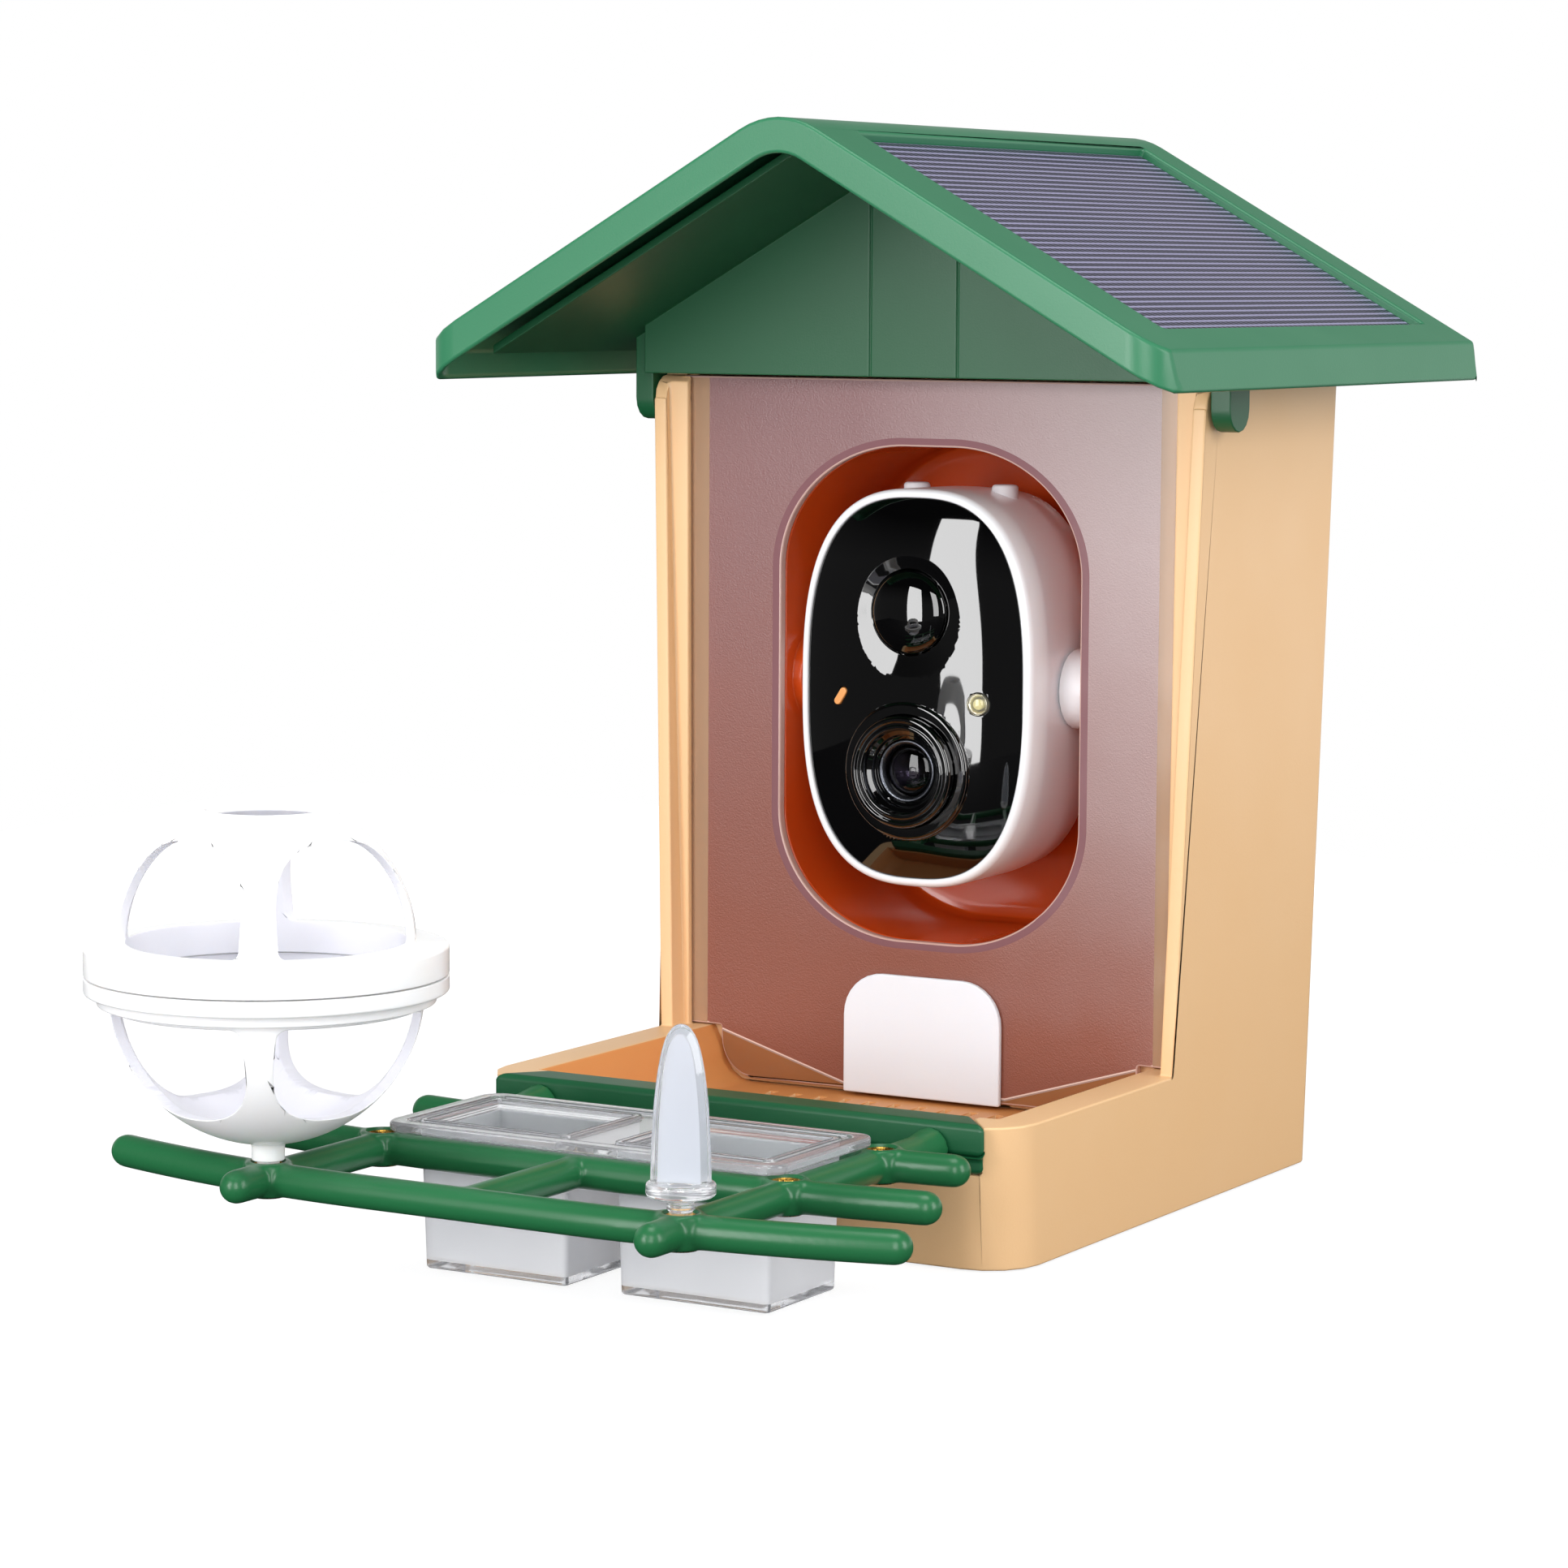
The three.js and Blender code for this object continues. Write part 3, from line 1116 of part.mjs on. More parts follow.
// Twin cup: a rim that lies on the rods, two cups between them and a bridge
const buildCups = () => {
  const rimFoot = rodTop + fit;
  const rimTop = rimFoot + cupRimHeight;
  const rimOutline = cornerRect(
    -cupRimHalf, cupRimHalf, cupRimFront, cupRimBack, cupRimCorner, cupRimCorner);
  const rim = prism('z', rimOutline, rimFoot, rimTop);
  const cup = (side, inset, foot, top) => {
    const outline = (shrink) => {
      const inner = cupInnerX + inset + shrink;
      const outer = cupOuterX - inset - shrink;
      const corner = Math.max(cupWall - inset / 2, fit);
      return cornerRect(Math.min(side * inner, side * outer), Math.max(side * inner, side * outer),
        cupFront + inset + shrink, cupBack - inset - shrink, corner, corner);
    };
    return loft('z', [{ at: foot, points: outline(cupDraft) }, { at: top, points: outline(0) }]);
  };
  const cups = sides.map(([, side]) => cup(side, 0, cupFoot, rimTop - cupRimHeight / 2));
  const wells = sides.map(([, side]) => cup(side, cupWall, cupFoot + cupFloor, rimTop + overrun));
  const bead = prism('z', cornerRect(-cupRimHalf + cupLipWidth, cupRimHalf - cupLipWidth,
    cupRimFront + cupLipWidth, cupRimBack - cupLipWidth, cupRimCorner / 2, cupRimCorner / 2),
  rimTop - cupRimHeight / 3, rimTop + overrun);
  return join([rim, ...cups]).subtract(join([...wells, bead]));
};
place('twin_cup', buildCups(), clearPlastic());

// Ball cage: two half shells with arched windows, joined at a flange
const ballX = -nodeX;
const ballY = rowY(frontRow, nodeX);
const lowerCentre = lowerFoot + lowerRadius;
const shellArc = (radius, centre, from, to, steps) => Array.from({ length: steps + 1 }, (_, i) => {
  const angle = from + (to - from) * i / steps;
  return [Math.max(radius * Math.cos(angle), 0), centre + radius * Math.sin(angle)];
});
const windowCutter = (radius, foot, top, archUp) => {
  const half = radius * Math.SQRT1_2 - ribHalf;
  const [flat, tip] = archUp ? [foot, top] : [top, foot];
  const bulge = (value) => Math.sign(value) * Math.abs(value) ** (2 / ballWindowPower);
  const arch = arc(0, 0, 1, 0, 180, 2 * cornerSteps).map(([a, b]) => [
    half * bulge(a), flat + (tip - flat) * bulge(b)]);
  const slot = prism('y', arch, -flangeRadius - overrun, -ballWall * 2);
  return [0, 1, 2, 3].map((quarter) =>
    slot.rotate([0, 0, 45 + ballTurn + 90 * quarter]).translate([ballX, ballY, 0]));
};
const buildLowerBall = () => {
  const innerRadius = lowerRadius - ballWall;
  const rise = Math.asin((flangeStepFoot - lowerCentre) / lowerRadius);
  const innerRise = Math.asin((flangeSeam - lowerCentre) / innerRadius);
  const innerTop = innerRadius * Math.cos(innerRise);
  const shell = turned([
    ...shellArc(lowerRadius, lowerCentre, -Math.PI / 2, rise, 6), [flangeStepRadius, flangeStepFoot],
    [flangeStepRadius, flangeFoot], [flangeRadius, flangeFoot],
    [flangeRadius, flangeSeam - fit / 2], [innerTop, flangeSeam - fit / 2],
    ...shellArc(innerRadius, lowerCentre, innerRise, -Math.PI / 2, 6).slice(1),
  ], ballX, ballY, ballSides);
  const stemFoot = rodTop + fit;
  const stem = turned([
    [0, stemFoot - studLength], [studRadius, stemFoot - studLength], [studRadius, stemFoot],
    [ballStemRadius, stemFoot], [ballStemRadius, lowerFoot + ballWall / 2], [0, lowerFoot + ballWall / 2],
  ], ballX, ballY);
  return shell.subtract(join(windowCutter(lowerRadius, lowerWindowFoot, lowerWindowTop, false))).add(stem);
};
place('ball_lower', buildLowerBall(), whitePlastic());

const buildUpperBall = () => {
  const innerRadius = upperRadius - ballWall;
  const foot = flangeSeam + fit / 2;
  const from = Math.asin((flangeTop - upperCentre) / upperRadius);
  const to = Math.acos(holeRadius / upperRadius);
  const innerTo = Math.acos((holeRadius - ballWall / 4) / innerRadius);
  const shell = turned([
    [innerRadius, foot], [flangeRadius, foot], [flangeRadius, flangeTop],
    ...shellArc(upperRadius, upperCentre, from, to, 5),
    ...shellArc(innerRadius, upperCentre, innerTo, 0, 5), [innerRadius, foot],
  ], ballX, ballY, ballSides);
  return shell.subtract(join(windowCutter(upperRadius, upperWindowFoot, upperWindowTop, true)));
};
place('ball_upper', buildUpperBall(), whitePlastic());

// Fruit spike: a stud, a collar and a flat blade with a rounded tip
const buildSpike = () => {
  const foot = rodTop + fit;
  const base = turned([
    [0, foot - studLength], [studRadius, foot - studLength], [studRadius, foot],
    [spikeThreadRadius, foot], [spikeThreadRadius, spikeCollarFoot - spikeThreadRadius / 2],
    [spikeCollarRadius - spikeThreadRadius / 2, spikeCollarFoot], [spikeCollarRadius, spikeCollarFoot + fit],
    [spikeCollarRadius, spikeCollarTop - fit], [spikeCollarRadius - fit, spikeCollarTop], [0, spikeCollarTop],
  ], 0, 0, discSides);
  const height = spikeTop - spikeCollarTop;
  const sideShares = [
    [1, -0.03], [0.96, 0.25], [0.88, 0.5], [0.76, 0.7], [0.6, 0.85], [0.42, 0.94], [0.2, 0.99]];
  const right = sideShares.map(([across, up]) => [across * spikeBladeHalf, spikeCollarTop + up * height]);
  const left = right.map(([x, z]) => [-x, z]).reverse();
  const blade = prism('y', [...right, [0, spikeTop], ...left],
    -spikeBladeThickness / 2, spikeBladeThickness / 2);
  return base.add(blade).rotate([0, 0, spikeTurn]).translate([nodeX, rowY(frontRow, nodeX), 0]);
};
place('fruit_spike', buildSpike(), clearPlastic());

// Rear bracket: a box that holds the roof's overhang clear of a wall or a tree
const bracketFront = houseBack + fit;
const buildBracket = () => {
  const shellOutline = rectangle(-bracketHalf, bracketHalf, bracketFoot, bracketTop);
  const coreOutline = rectangle(-bracketHalf + bracketWall, bracketHalf - bracketWall, bracketFoot - overrun,
    bracketTop + overrun);
  const core = prism('y', coreOutline, bracketFront + bracketWall, bracketReach - bracketWall);
  const holes = [-bracketScrewX, bracketScrewX].map((x) => cylinder('y', screwRadius + fit,
    bracketFront - overrun, bracketFront + bracketWall + overrun, x, bracketMiddle));
  const keyholes = [-keyholeSpacing / 2, keyholeSpacing / 2].map((z) => {
    const from = bracketReach - bracketWall - overrun;
    const low = bracketMiddle + z - keyholeDrop / 2;
    const mouth = cylinder('y', keyholeRadius, from, bracketReach + overrun, 0, low);
    const slot = box(-keyholeSlot, keyholeSlot, from, bracketReach + overrun, low,
      bracketMiddle + z + keyholeDrop / 2);
    return mouth.add(slot);
  });
  const access = [-bracketScrewX, bracketScrewX].map((x) => cylinder('y', screwHeadRadius + 2 * fit,
    bracketReach - bracketWall - overrun, bracketReach + overrun, x, bracketMiddle));
  return prism('y', shellOutline, bracketFront, bracketReach)
    .subtract(join([core, ...holes, ...keyholes, ...access]));
};
place('rear_bracket', buildBracket(), sandPlastic());
sides.forEach(([name, side]) => {
  place(`bracket_screw_${name}`, screwAlongY(bracketFront + bracketWall + fit,
    houseInnerBack - backBossLength + backWall + fit, side * bracketScrewX, bracketMiddle), steel());
});

export default feeder;
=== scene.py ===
"""Looks of the bird feeder: finishes, rounded meshes, floor, lights and camera.

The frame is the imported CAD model, in metres. The sizes in the classes here are in millimetres.
"""

import logging
import math
from collections.abc import Iterable, Sequence
from dataclasses import dataclass
from enum import Enum

import bmesh
import bpy
from mathutils import Matrix, Vector


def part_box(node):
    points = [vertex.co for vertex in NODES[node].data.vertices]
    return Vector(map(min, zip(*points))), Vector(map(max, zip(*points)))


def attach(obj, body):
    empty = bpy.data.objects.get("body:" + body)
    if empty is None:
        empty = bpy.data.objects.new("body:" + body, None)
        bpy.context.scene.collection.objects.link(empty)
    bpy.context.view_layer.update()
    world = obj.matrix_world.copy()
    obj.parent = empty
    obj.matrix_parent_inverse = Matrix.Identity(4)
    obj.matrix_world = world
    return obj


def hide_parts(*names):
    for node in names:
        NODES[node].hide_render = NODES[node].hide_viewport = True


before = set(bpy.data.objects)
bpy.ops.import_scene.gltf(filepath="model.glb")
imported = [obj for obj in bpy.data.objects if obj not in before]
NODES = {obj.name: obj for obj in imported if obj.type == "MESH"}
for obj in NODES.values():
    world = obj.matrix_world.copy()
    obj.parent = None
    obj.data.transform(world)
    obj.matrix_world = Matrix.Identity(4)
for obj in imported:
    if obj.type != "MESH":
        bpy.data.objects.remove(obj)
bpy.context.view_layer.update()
LOG = logging.getLogger("feeder")

MM = 0.001
# The window's half width and half height, those of its round corners, and its centre's height.
WINDOW_HALF = (40.6, 59.35)
WINDOW_CORNER = (34.0, 30.0)
WINDOW_CENTRE = 117.2
# Where the ball and the spike stand on the perch, left and right, and where the cups rest too.
NODE_X = 51.0
NODE_Y = -191.935
SEAT_LEVEL = 31.45
# Gap between neighbours that only touch.
FIT = 0.3
# How far a cutter reaches past what it cuts.
PAST = 3.0
Point2 = tuple[float, float]
Point3 = tuple[float, float, float]
Outline = list[Point2]
Object = bpy.types.Object
Material = bpy.types.Material
Node = bpy.types.Node
Socket = bpy.types.NodeSocket
Tree = bpy.types.NodeTree


class Axis(Enum):
    """The way that an outline's depth runs: where its two numbers and its depth go in a point."""

    X = (1, 2, 0)
    Y = (0, 2, 1)
    Z = (0, 1, 2)

    def point(self, a: float, b: float, depth: float) -> Point3:
        """Finds the point in space of an outline's point.

        Args:
            a: the outline's first number.
            b: the outline's second number.
            depth: how far along the axis the point lies.

        Returns:
            X, Y and Z.
        """
        place = [0.0, 0.0, 0.0]
        for slot, value in zip(self.value, (a, b, depth)):
            place[slot] = value
        return (place[0], place[1], place[2])


class Cut(Enum):
    """What a solid does to the one that it meets."""

    JOIN = "UNION"
    TAKE = "DIFFERENCE"


# Colour and node helpers


def linear(code: str) -> tuple[float, float, float, float]:
    """Turns an sRGB hex code into the linear colour that shaders take.

    Args:
        code: the colour as six hex digits after a hash.

    Returns:
        Red, green, blue and an alpha of 1.
    """
    values = [int(code[i : i + 2], 16) / 255 for i in (1, 3, 5)]
    low_end, scale, offset, power = 0.04045, 12.92, 0.055, 2.4
    red, green, blue = (
        v / scale if v <= low_end else ((v + offset) / (1 + offset)) ** power for v in values
    )
    return (red, green, blue, 1.0)


def add_node(
    tree: Tree,
    kind: str,
    inputs: dict[str | int, object] | None = None,
    **settings: object,
) -> Node:
    """Adds a node with its inputs and its settings.

    Args:
        tree: the node tree that it goes into.
        kind: the node's type name.
        inputs: what each input gets, by name or place: a socket, a node, whose first output is
            then meant, or a constant.
        **settings: attributes of the node.

    Returns:
        The new node.
    """
    node = tree.nodes.new(kind)
    for key, value in settings.items():
        setattr(node, key, value)
    for key, source in (inputs or {}).items():
        if isinstance(source, Node):
            source = source.outputs[0]
        if isinstance(source, Socket):
            tree.links.new(source, node.inputs[key])
        else:
            node.inputs[key].default_value = source
    return node


def blank_material(name: str) -> tuple[Material, Tree, Socket]:
    """Makes a material with an empty tree.

    Args:
        name: the material's name.

    Returns:
        The material, its tree and a socket with the object's own coordinates.
    """
    material = bpy.data.materials.new(name)
    material.use_nodes = True
    tree = material.node_tree
    tree.nodes.clear()
    return material, tree, add_node(tree, "ShaderNodeTexCoord").outputs["Object"]


def close_material(tree: Tree, inputs: dict[str | int, object]) -> None:
    """Ends a tree with a Principled shader that gets these inputs."""
    shader = add_node(tree, "ShaderNodeBsdfPrincipled", inputs)
    add_node(tree, "ShaderNodeOutputMaterial", {"Surface": shader})


# Finishes


@dataclass(frozen=True)
class Moulded:
    """An injection-moulded plastic with a fine spark-eroded grain.

    Attributes:
        name: the material's name.
        light: sRGB colour where the wall is thin or rubbed.
        dark: sRGB colour elsewhere.
        roughness: mean roughness of the skin.
        grain_mm: size of the grain, drawn coarse enough to show.
        grain_depth: strength of the grain's bump.
        ior: refractive index.
        glow: how much light the plastic scatters inside.
        glow_mm: how far that light spreads.
        lacquer: weight of a clear coat.
        parting_mm: height of a parting line, or none.
    """

    name: str
    light: str
    dark: str
    roughness: float
    grain_mm: float = 0.5
    grain_depth: float = 0.05
    ior: float = 1.53
    glow: float = 0.0
    glow_mm: float = 1.5
    lacquer: float = 0.0
    parting_mm: float | None = None

    def build(self) -> Material:
        """Returns the material."""
        material, tree, place = blank_material(self.name)
        cloud_mm, spread, line_half_mm, line_depth = 35.0, 0.12, 0.14, 3.0
        cloud = add_node(
            tree, "ShaderNodeTexNoise",
            {"Vector": place, "Scale": 1 / (cloud_mm * MM), "Detail": 2.0})
        height = add_node(
            tree, "ShaderNodeTexNoise",
            {"Vector": place, "Scale": 1 / (self.grain_mm * MM), "Detail": 1.0})
        if self.parting_mm is not None:
            split = add_node(tree, "ShaderNodeSeparateXYZ", {0: place})
            on_line = add_node(
                tree, "ShaderNodeMath",
                {0: split.outputs[2], 1: self.parting_mm * MM, 2: line_half_mm * MM},
                operation="COMPARE")
            height = add_node(
                tree, "ShaderNodeMath", {0: on_line, 1: -line_depth, 2: height},
                operation="MULTIPLY_ADD")
        colour = add_node(
            tree, "ShaderNodeMix", {0: cloud, 6: linear(self.light), 7: linear(self.dark)},
            data_type="RGBA")
        rough = add_node(tree, "ShaderNodeMapRange", {
            "Value": cloud, "To Min": self.roughness * (1 - spread),
            "To Max": self.roughness * (1 + spread)})
        bump = add_node(tree, "ShaderNodeBump", {
            "Height": height, "Strength": self.grain_depth, "Distance": self.grain_mm * MM})
        inputs = {
            "Base Color": colour.outputs[2], "Roughness": rough, "Normal": bump, "IOR": self.ior,
            "Coat Weight": self.lacquer}
        if self.glow:
            inputs |= {
                "Subsurface Weight": self.glow, "Subsurface Radius": (1.0, 0.9, 0.8),
                "Subsurface Scale": self.glow_mm * MM}
        close_material(tree, inputs)
        return material


@dataclass(frozen=True)
class Clear:
    """A clear or frosted plastic that light goes through.

    Attributes:
        name: the material's name.
        tint: sRGB colour of what comes through.
        roughness: roughness of the surface.
        ior: refractive index.
        ripple: strength of the moulding ripple.
        through: share of the light that goes through.
    """

    name: str
    tint: str
    roughness: float
    ior: float = 1.57
    ripple: float = 0.03
    through: float = 1.0

    def build(self) -> Material:
        """Returns the material."""
        material, tree, place = blank_material(self.name)
        ripple_mm, spread = 9.0, 0.2
        wave = add_node(
            tree, "ShaderNodeTexNoise",
            {"Vector": place, "Scale": 1 / (ripple_mm * MM), "Detail": 1.0})
        bump = add_node(
            tree, "ShaderNodeBump", {"Height": wave, "Strength": self.ripple, "Distance": MM})
        rough = add_node(tree, "ShaderNodeMapRange", {
            "Value": wave, "To Min": self.roughness * (1 - spread),
            "To Max": self.roughness * (1 + spread)})
        close_material(tree, {
            "Base Color": linear(self.tint), "Roughness": rough, "Normal": bump, "IOR": self.ior,
            "Transmission Weight": self.through})
        return material


@dataclass(frozen=True)
class FrostedPanel:
    """Etched polycarbonate: a fine orange-peel frost that hides the seed, with clear bare edges.

    The frost scatters what is behind it to a mauve haze. The bare strips at its sides and the
    area below its lower line stay clearer, and a polished border runs round the window.

    Attributes:
        name: the material's name.
        top: sRGB colour of the frost where it looks up into the roof's shade.
        low: sRGB colour where the seed and the tray shine through.
        lit: sRGB colour at the right, which the side lamp lights.
        bare: sRGB colour of the strips beside the frost.
        below: sRGB colour under the frost's lower line.
        rim: sRGB colour of that line.
        border: sRGB colour of the border round the window.
        border_mm: width of that border.
        rim_half_mm: half the width of the lower line.
        strip_from_mm: where the bare strips start, from the middle.
        line_half_mm: half the length of the lower line's level stretch.
        line_level_mm: height of that stretch.
        line_slope: how steeply the line climbs beyond it.
        haze_mm: size of the clouds in the frost.
        haze_reach_mm: how far the clouds shift the change from low to top.
        lean: how much higher the right side reads than the left.
        rise_mm: the heights between which low turns to top.
        lit_mm: where the lit side starts and ends, from the middle.
        lit_most: the lit colour's greatest share.
        rough: roughness of the frost and of the clear places.
        through: share of light through the frost and through the clear places.
        peel_mm: size of the orange peel.
        peel_depth: strength of its bump.
        ior: refractive index.
    """

    name: str = "polycarbonate_etched"
    top: str = "#906768"
    low: str = "#935543"
    lit: str = "#cdbcbc"
    bare: str = "#eec5a2"
    below: str = "#cf9060"
    rim: str = "#f0d6cb"
    border: str = "#8d6368"
    border_mm: float = 2.3
    rim_half_mm: float = 0.35
    strip_from_mm: float = 61.0
    line_half_mm: float = 22.0
    line_level_mm: float = 21.6
    line_slope: float = 0.297
    haze_mm: float = 35.714
    haze_reach_mm: float = 50.0
    lean: float = 0.3
    rise_mm: Point2 = (70.0, 200.0)
    lit_mm: Point2 = (-20.0, 70.0)
    lit_most: float = 0.8
    rough: Point2 = (0.38, 0.12)
    through: Point2 = (0.12, 0.6)
    peel_mm: float = 0.35
    peel_depth: float = 0.3
    ior: float = 1.58

    def around_window(
        self, tree: Tree, across: Socket, height: Socket
    ) -> Node:
        """Measures how far a point lies from the window's corner arcs.

        Args:
            tree: the material's tree.
            across: distance from the middle.
            height: height of the point.

        Returns:
            A node whose value is 1 on the window's outline and more outside it.
        """
        total: Node | None = None
        for socket, half, corner, centre in (
            (across, WINDOW_HALF[0], WINDOW_CORNER[0], 0.0),
            (height, WINDOW_HALF[1], WINDOW_CORNER[1], WINDOW_CENTRE),
        ):
            away = add_node(
                tree, "ShaderNodeMath", {0: socket, 1: centre * MM}, operation="SUBTRACT")
            away = add_node(tree, "ShaderNodeMath", {0: away}, operation="ABSOLUTE")
            reach = add_node(tree, "ShaderNodeMapRange", {
                "Value": away, "From Min": (half - corner) * MM, "From Max": half * MM},
                clamp=False)
            reach = add_node(tree, "ShaderNodeMath", {0: reach, 1: 0.0}, operation="MAXIMUM")
            square = add_node(tree, "ShaderNodeMath", {0: reach, 1: 2.0}, operation="POWER")
            total = square if total is None else add_node(
                tree, "ShaderNodeMath", {0: total, 1: square}, operation="ADD")
        return add_node(tree, "ShaderNodeMath", {0: total}, operation="SQRT")

    def build(self) -> Material:
        """Returns the material."""
        material, tree, place = blank_material(self.name)
        split = add_node(tree, "ShaderNodeSeparateXYZ", {0: place})
        across = add_node(tree, "ShaderNodeMath", {0: split}, operation="ABSOLUTE")
        height = split.outputs[2]
        cloud = add_node(
            tree, "ShaderNodeTexNoise",
            {"Vector": place, "Scale": 1 / (self.haze_mm * MM), "Detail": 2.0})
        rise = add_node(
            tree, "ShaderNodeMath", {0: cloud, 1: self.haze_reach_mm * MM, 2: height},
            operation="MULTIPLY_ADD")
        rise = add_node(
            tree, "ShaderNodeMath", {0: split, 1: self.lean, 2: rise}, operation="MULTIPLY_ADD")
        rise = add_node(tree, "ShaderNodeMapRange", {
            "Value": rise, "From Min": self.rise_mm[0] * MM, "From Max": self.rise_mm[1] * MM})
        lit = add_node(tree, "ShaderNodeMapRange", {
            "Value": split, "From Min": self.lit_mm[0] * MM, "From Max": self.lit_mm[1] * MM,
            "To Max": self.lit_most})
        lit = add_node(tree, "ShaderNodeMath", {0: lit, 1: rise}, operation="MULTIPLY")
        beyond = add_node(
            tree, "ShaderNodeMath", {0: across, 1: self.line_half_mm * MM}, operation="SUBTRACT")
        beyond = add_node(tree, "ShaderNodeMath", {0: beyond, 1: 0.0}, operation="MAXIMUM")
        line = add_node(
            tree, "ShaderNodeMath", {0: beyond, 1: self.line_slope, 2: self.line_level_mm * MM},
            operation="MULTIPLY_ADD")
        under = add_node(tree, "ShaderNodeMath", {0: height, 1: line}, operation="LESS_THAN")
        on_line = add_node(
            tree, "ShaderNodeMath", {0: height, 1: line, 2: self.rim_half_mm * MM},
            operation="COMPARE")
        strip = add_node(
            tree, "ShaderNodeMath", {0: across, 1: self.strip_from_mm * MM},
            operation="GREATER_THAN")
        around = self.around_window(tree, across.outputs[0], height)
        edge = add_node(
            tree, "ShaderNodeMath", {0: around, 1: 1 + self.border_mm / WINDOW_CORNER[0]},
            operation="LESS_THAN")
        colour: object = linear(self.low)
        for share, code in (
            (rise, self.top), (lit, self.lit), (under, self.below), (on_line, self.rim),
            (strip, self.bare), (edge, self.border),
        ):
            mix = add_node(
                tree, "ShaderNodeMix", {0: share, 6: colour, 7: linear(code)}, data_type="RGBA")
            colour = mix.outputs[2]
        clear = add_node(tree, "ShaderNodeMath", {0: under, 1: strip}, operation="MAXIMUM")
        smooth = add_node(tree, "ShaderNodeMath", {0: clear, 1: edge}, operation="MAXIMUM")
        rough = add_node(tree, "ShaderNodeMapRange", {
            "Value": smooth, "To Min": self.rough[0], "To Max": self.rough[1]})
        through = add_node(tree, "ShaderNodeMapRange", {
            "Value": clear, "To Min": self.through[0], "To Max": self.through[1]})
        peel = add_node(
            tree, "ShaderNodeTexNoise",
            {"Vector": place, "Scale": 1 / (self.peel_mm * MM), "Detail": 1.0})
        depth = add_node(tree, "ShaderNodeMapRange", {
            "Value": smooth, "To Min": self.peel_depth, "To Max": 0.0})
        bump = add_node(tree, "ShaderNodeBump", {
            "Height": peel, "Strength": depth, "Distance": self.peel_mm * MM})
        close_material(tree, {
            "Base Color": colour, "Roughness": rough, "Transmission Weight": through,
            "Normal": bump, "IOR": self.ior})
        return material


@dataclass(frozen=True)
class SolarSheet:
    """Laminated solar cells under a clear film: slanted dark cells between pale silver wires.

    Attributes:
        name: the material's name.
        slope_deg: slope of the roof, which the rows of cells follow.
        row_mm: distance between rows, down the slope.
        cell_mm: distance between cells along a row.
        slant: how far a cell leans along its row, in cells.
        stagger: how far each row is moved along, in cells.
        wire_share: share of a row that its pale wire takes.
        gap_share: share of a cell's length that the gap beside it takes.
        cell: sRGB colour of the cells.
        wire: sRGB colour of the wires.
        film: sRGB colour of the film between the cells.
        roughness: roughness of the film.
        ior: its refractive index.
        dent: strength of the bump at the cells' edges.
        dent_mm: its depth.
    """

    name: str = "solar_laminate"
    slope_deg: float = 29.3
    row_mm: float = 2.2
    cell_mm: float = 2.6
    slant: float = -1.3
    stagger: float = -0.81
    wire_share: float = 0.34
    gap_share: float = 0.3
    cell: str = "#030206"
    wire: str = "#918faf"
    film: str = "#6d6c8a"
    roughness: float = 0.34
    ior: float = 1.5
    dent: float = 0.3
    dent_mm: float = 0.3

    def build(self) -> Material:
        """Returns the material."""
        material, tree, place = blank_material(self.name)
        split = add_node(tree, "ShaderNodeSeparateXYZ", {0: place})
        row_length = math.cos(math.radians(self.slope_deg)) * self.row_mm * MM
        down = add_node(tree, "ShaderNodeMath", {0: split, 1: row_length}, operation="DIVIDE")
        row = add_node(tree, "ShaderNodeMath", {0: down}, operation="FLOOR")
        in_row = add_node(tree, "ShaderNodeMath", {0: down}, operation="FRACT")
        along = add_node(
            tree, "ShaderNodeMath", {0: split.outputs[1], 1: self.cell_mm * MM}, operation="DIVIDE")
        along = add_node(
            tree, "ShaderNodeMath", {0: in_row, 1: self.slant, 2: along}, operation="MULTIPLY_ADD")
        along = add_node(
            tree, "ShaderNodeMath", {0: row, 1: self.stagger, 2: along}, operation="MULTIPLY_ADD")
        in_cell = add_node(tree, "ShaderNodeMath", {0: along}, operation="FRACT")
        off_wire = add_node(
            tree, "ShaderNodeMath", {0: in_row, 1: self.wire_share}, operation="GREATER_THAN")
        off_gap = add_node(
            tree, "ShaderNodeMath", {0: in_cell, 1: self.gap_share}, operation="GREATER_THAN")
        inside = add_node(tree, "ShaderNodeMath", {0: off_wire, 1: off_gap}, operation="MULTIPLY")
        lines = add_node(
            tree, "ShaderNodeMix", {0: off_wire, 6: linear(self.wire), 7: linear(self.film)},
            data_type="RGBA")
        colour = add_node(
            tree, "ShaderNodeMix", {0: inside, 6: lines.outputs[2], 7: linear(self.cell)},
            data_type="RGBA")
        bump = add_node(tree, "ShaderNodeBump", {
            "Height": inside, "Strength": self.dent, "Distance": self.dent_mm * MM}, invert=True)
        close_material(tree, {
            "Base Color": colour.outputs[2], "Normal": bump, "Roughness": self.roughness,
            "IOR": self.ior})
        return material


